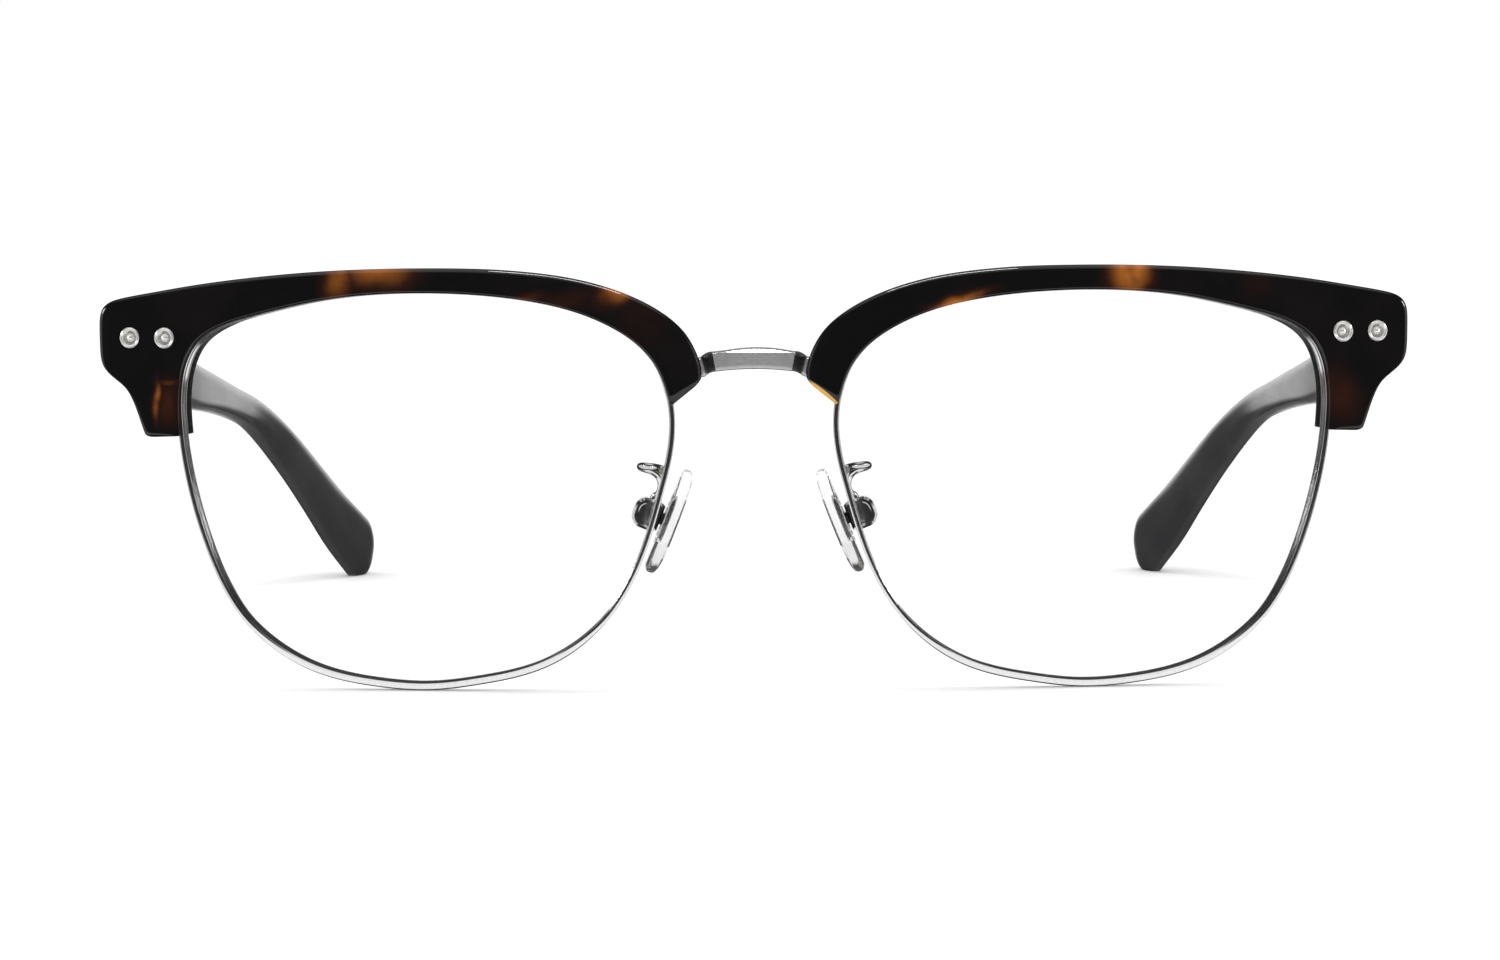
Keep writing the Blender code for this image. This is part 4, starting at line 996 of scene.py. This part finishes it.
def nose_pad(place):
    """A domed pad with a pocket in its back for the insert."""
    half = PAD_THICK / 2
    dome = open_curve(((0.05, -half), (0.4, -half + 0.01), (0.72, -half + 0.08),
                       (0.93, -half + 0.36), (1.0, 0), (0.975, half - 0.26), (0.90, half)), 26)
    rings = []
    for scale, h in dome:
        outline = pad_outline(PAD_HALF[0] * scale, PAD_HALF[1] * scale)
        rings.append([place @ Vector((x, y, h)) for x, y in outline])
    lip = ((0.3, half + 0.0), (0.08, half - 0.02), (0, half - 0.1), (0, half - POCKET_DEPTH))
    for grow, h in lip:
        outline = pad_outline(POCKET[0] + grow, POCKET[1] + grow)
        rings.append([place @ Vector((x, y, h)) for x, y in outline])
    return loft(rings)


def build_pad(side, tag, mats):
    body = f"nose_pad_{tag}"
    place = pad_frame()
    half = PAD_THICK / 2
    add_piece(f"silicone_pad_{tag}", f"nose_pad_{tag}", nose_pad(place), side, body,
              mats["silicone"], angle=60)

    turn = Matrix.Rotation(math.radians(-90), 4, "X")
    pivot = place @ Matrix.Translation((0, 0, PIVOT_OUT)) @ turn
    rings = []
    for h in (half - POCKET_DEPTH + 0.05, half - 0.05):
        outline = pad_outline(POCKET[0] - 0.06, POCKET[1] - 0.06)
        rings.append([place @ Vector((x, y, h)) for x, y in outline])
    lug = [(-0.65, half - 0.3), (0.65, half - 0.3)] + arc(0, PIVOT_OUT, 0.65, 0, 180, 24)
    lug = loft([[place @ Vector((x, y, h)) for x, h in lug] for y in (-0.75, 0.75)])
    grooves = [box((x - 0.14, -2, half - 0.2), (x + 0.14, 2, half), place)
               for x in (-2.2, -1.5, 1.5, 2.2)]
    add_piece(f"insert_{tag}", f"pad_insert_{tag}", loft(rings), side, body,
              mats["insert"], joins=[lug], cuts=[*grooves, turned(rod(0.35, -2, 2), pivot, 32)])

    tall, wide, near, far = BOX
    deep = far + CUP_DEEPER
    base = deep - CUP_ROUND
    swell = [(near, 1.0), (near + 0.5, CUP_SWELL), (base, CUP_SWELL)]
    swell += [(base + CUP_ROUND * math.sin(a), 0.28 + 0.9 * math.cos(a))
              for a in (0.4, 0.75, 1.1, 1.35)]
    plan = [(-tall * s, h) for h, s in swell] + [(0.0, deep)]
    plan += [(tall * s, h) for h, s in reversed(swell)]
    mid = (near + deep) / 2
    levels = [(0.60, 0.30 - wide), (0.66, -wide), (0.84, -wide), (1.0, 0.25 - wide),
              (1.0, wide - 0.25), (0.9, wide)]
    cup = loft([[place @ Vector((x * s, y, mid + (h - mid) * s)) for x, h in plan]
                for s, y in levels])
    plan = rounded_rect(2 * (tall - BOX_WALL), 2 * (wide - BOX_WALL), 0.2, 0.2, 5, 0)
    room = loft([[place @ Vector((x, y, h)) for x, y in plan] for h in (0, 3.0)])
    add_piece(f"pad_cup_{tag}", f"pad_box_{tag}", cup, side, "front",
              mats["polished"], cuts=[room, turned(rod(0.33, -2, 2), pivot, 32)], angle=20)
    screw = [(0, -wide - 0.05), (0.28, -wide - 0.05), (0.28, wide + 0.05), (0.55, wide + 0.05),
             (0.6, wide + 0.1), (0.58, wide + 0.2), (0.45, wide + 0.28), (0, wide + 0.3)]
    add_piece(f"cup_screw_{tag}", f"pad_screw_{tag}", turned(screw, pivot, 32), side, "front",
              mats["machined"],
              cuts=[box((-1, -0.07, wide + 0.18), (1, 0.07, wide + 1), pivot)])

    wire = [Vector((x, y + FRONT_Y, z + DROP_Z)) for x, y, z in open_curve(ARM, 24)]
    wire += [place @ Vector((-tall - reach, 0, ARM_END)) for reach in (0.7, 0.03)]
    wire = [Vector(p) for p in softened(open_curve([tuple(p) for p in wire], 110), 12)]
    add_piece(f"pad_wire_{tag}", f"pad_arm_{tag}", sweep(wire, ARM_R), side, "front",
              mats["polished"])


# ---------------------------------------------------------------- studio
CAMERA_AT = (-0.5, FRONT_Y - 500.0, 61.4)
CAMERA_PITCH = 4.28
CAMERA_ROLL = 0.33
CAMERA_LENS = 107.8
DAYLIGHT = 1.22


def build_camera():
    data = bpy.data.cameras.new("camera")
    data.lens = CAMERA_LENS
    data.sensor_width = 36
    data.clip_start = 0.01
    camera = bpy.data.objects.new("camera", data)
    turn = Matrix.Rotation(math.radians(90 - CAMERA_PITCH), 4, "X")
    turn = turn @ Matrix.Rotation(math.radians(-CAMERA_ROLL), 4, "Z")
    camera.matrix_world = Matrix.Translation(Vector(CAMERA_AT) / 1000) @ turn
    bpy.context.scene.collection.objects.link(camera)
    bpy.context.scene.camera = camera


def build_floor():
    """A seamless pale floor; the gloss on the glasses shows the studio round it instead."""
    bpy.ops.mesh.primitive_circle_add(vertices=96, radius=30, fill_type="NGON")
    floor = bpy.context.object
    floor.name = "floor"
    t = Tree("floor")
    grain = t.noise(400.0, 2.0)
    t.shade(Base_Color=t.mix(grain.outputs["Fac"], (0.90, 0.90, 0.90), (0.92, 0.92, 0.92)))
    t.shade(Roughness=0.5, Specular_IOR_Level=0.0)
    floor.data.materials.append(t.mat)
    floor.visible_glossy = False


def build_world():
    """White to the camera and to diffuse light. Reflections see a wall, wings and bands."""
    world = bpy.data.worlds.new("studio")
    bpy.context.scene.world = world
    world.use_nodes = True
    world.cycles.sampling_method = "NONE"
    nodes, links = world.node_tree.nodes, world.node_tree.links

    def step(value, low, high, to_low, to_high):
        node = nodes.new("ShaderNodeMapRange")
        node.interpolation_type = "SMOOTHSTEP"
        links.new(value, node.inputs[0])
        for socket, number in zip(node.inputs[1:5], (low, high, to_low, to_high)):
            socket.default_value = number
        return node.outputs[0]

    def math_node(operation, *values):
        node = nodes.new("ShaderNodeMath")
        node.operation = operation
        for socket, value in zip(node.inputs, values):
            if isinstance(value, float):
                socket.default_value = value
            else:
                links.new(value, socket)
        return node.outputs[0]

    split = nodes.new("ShaderNodeSeparateXYZ")
    links.new(nodes.new("ShaderNodeTexCoord").outputs["Generated"], split.inputs[0])
    x, y, z = split.outputs
    aside = math_node("ABSOLUTE", x)
    # Wall behind and wings at the sides
    wall = math_node("MULTIPLY", step(aside, 0.16, 0.42, 1.0, 0.05), step(y, 0.0, 0.6, 0.0, 1.0))
    wall = math_node("MULTIPLY", step(z, 0.20, 0.32, 1.0, 0.04), wall)
    wall = math_node("MULTIPLY", step(z, -0.14, -0.24, 1.0, 0.15), wall)
    wall = math_node("MAXIMUM", wall, step(aside, 0.84, 0.94, 0.0, 0.9))
    # Band low in front, and the ceiling
    below = math_node("MULTIPLY", step(z, -0.25, -0.33, 0.0, 1.1), step(z, -0.74, -0.86, 1.0, 0.03))
    below = math_node("MULTIPLY", below, step(y, 0.1, 0.5, 1.0, 0.04))
    above = step(z, 0.70, 0.86, 0.035, 0.80)
    seen = math_node("MAXIMUM", math_node("MAXIMUM", wall, below), above)
    ray = nodes.new("ShaderNodeLightPath")
    seen = math_node("MAXIMUM", seen, ray.outputs["Is Camera Ray"])
    day = math_node("MULTIPLY", ray.outputs["Is Diffuse Ray"], DAYLIGHT)
    seen = math_node("MAXIMUM", seen, day)
    links.new(seen, nodes["Background"].inputs["Strength"])
    nodes["Background"].inputs["Color"].default_value = (1, 1, 1, 1)


def add_light(name, at, aim, size, power):
    data = bpy.data.lights.new(name, "AREA")
    data.shape = "RECTANGLE"
    data.size, data.size_y = size
    data.energy = power
    light = bpy.data.objects.new(name, data)
    light.location = at
    light.rotation_euler = (Vector(aim) - Vector(at)).to_track_quat("-Z", "Y").to_euler()
    light.visible_camera = False
    bpy.context.scene.collection.objects.link(light)


def main():
    bpy.context.scene.view_settings.view_transform = "Standard"
    mats = {
        "tortoise_left": tortoise("left", AMBER["left"]),
        "tortoise_right": tortoise("right", AMBER["right"]),
        "temple": temple_acetate(),
        "rim": metal("rim_metal", (0.84, 0.84, 0.85), (0.08, 0.17), 0.12, 0.0015),
        "bridge": metal("bridge_metal", (0.72, 0.72, 0.72), (0.32, 0.38), 0.2, 0.0003,
                        (0.3, 1, 1)),
        "polished": metal("polished_metal", (0.86, 0.86, 0.86), (0.05, 0.10), 0.3, 0.001),
        "plated": metal("plated_metal", (0.95, 0.94, 0.92), (0.08, 0.16), 0.3, 0.001,
                        metallic=0.62),
        "machined": metal("machined_metal", (0.66, 0.66, 0.67), (0.18, 0.3), 0.15, 0.003),
        "satin": metal("satin_metal", (0.62, 0.62, 0.63), (0.25, 0.38), 0.2, 0.003),
        "drawn": metal("drawn_wire", (0.5, 0.5, 0.51), (0.3, 0.4), 0.3, 0.003, (1, 0.1, 1)),
        "insert": metal("insert_metal", (0.05, 0.05, 0.055), (0.2, 0.4), 0.15, 0.006),
        "silicone": silicone(),
        "lens": lens_plastic(),
    }
    path = Path()
    holes = []
    for side in (1, -1):
        points, faces = turned(rod(0.5, 2, 9), brow_screw_place(), 32)
        holes.append(([Vector((side * p.x, p.y, p.z)) for p in points], faces))
    add_piece("nose_bridge", "bridge", bridge(), 1, "front", mats["bridge"],
              cuts=holes, angle=18)
    for side, tag in SIDES:
        build_front(side, tag, mats)
        build_rim_lock(side, tag, mats)
        build_hinge(side, tag, mats)
        build_temple(side, tag, mats, path)
        build_pad(side, tag, mats)
    build_camera()
    build_floor()
    build_world()
    add_light("overhead_strip", (0, -0.07, 0.17), (0, -0.07, 0.04), (0.072, 0.010), 0.10)
    for side, tag in SIDES:
        add_light(f"{tag}_card", (side * 0.20, -0.068, 0.085), (side * 0.074, -0.066, 0.044),
                  (0.03, 0.03), 0.05)


main()
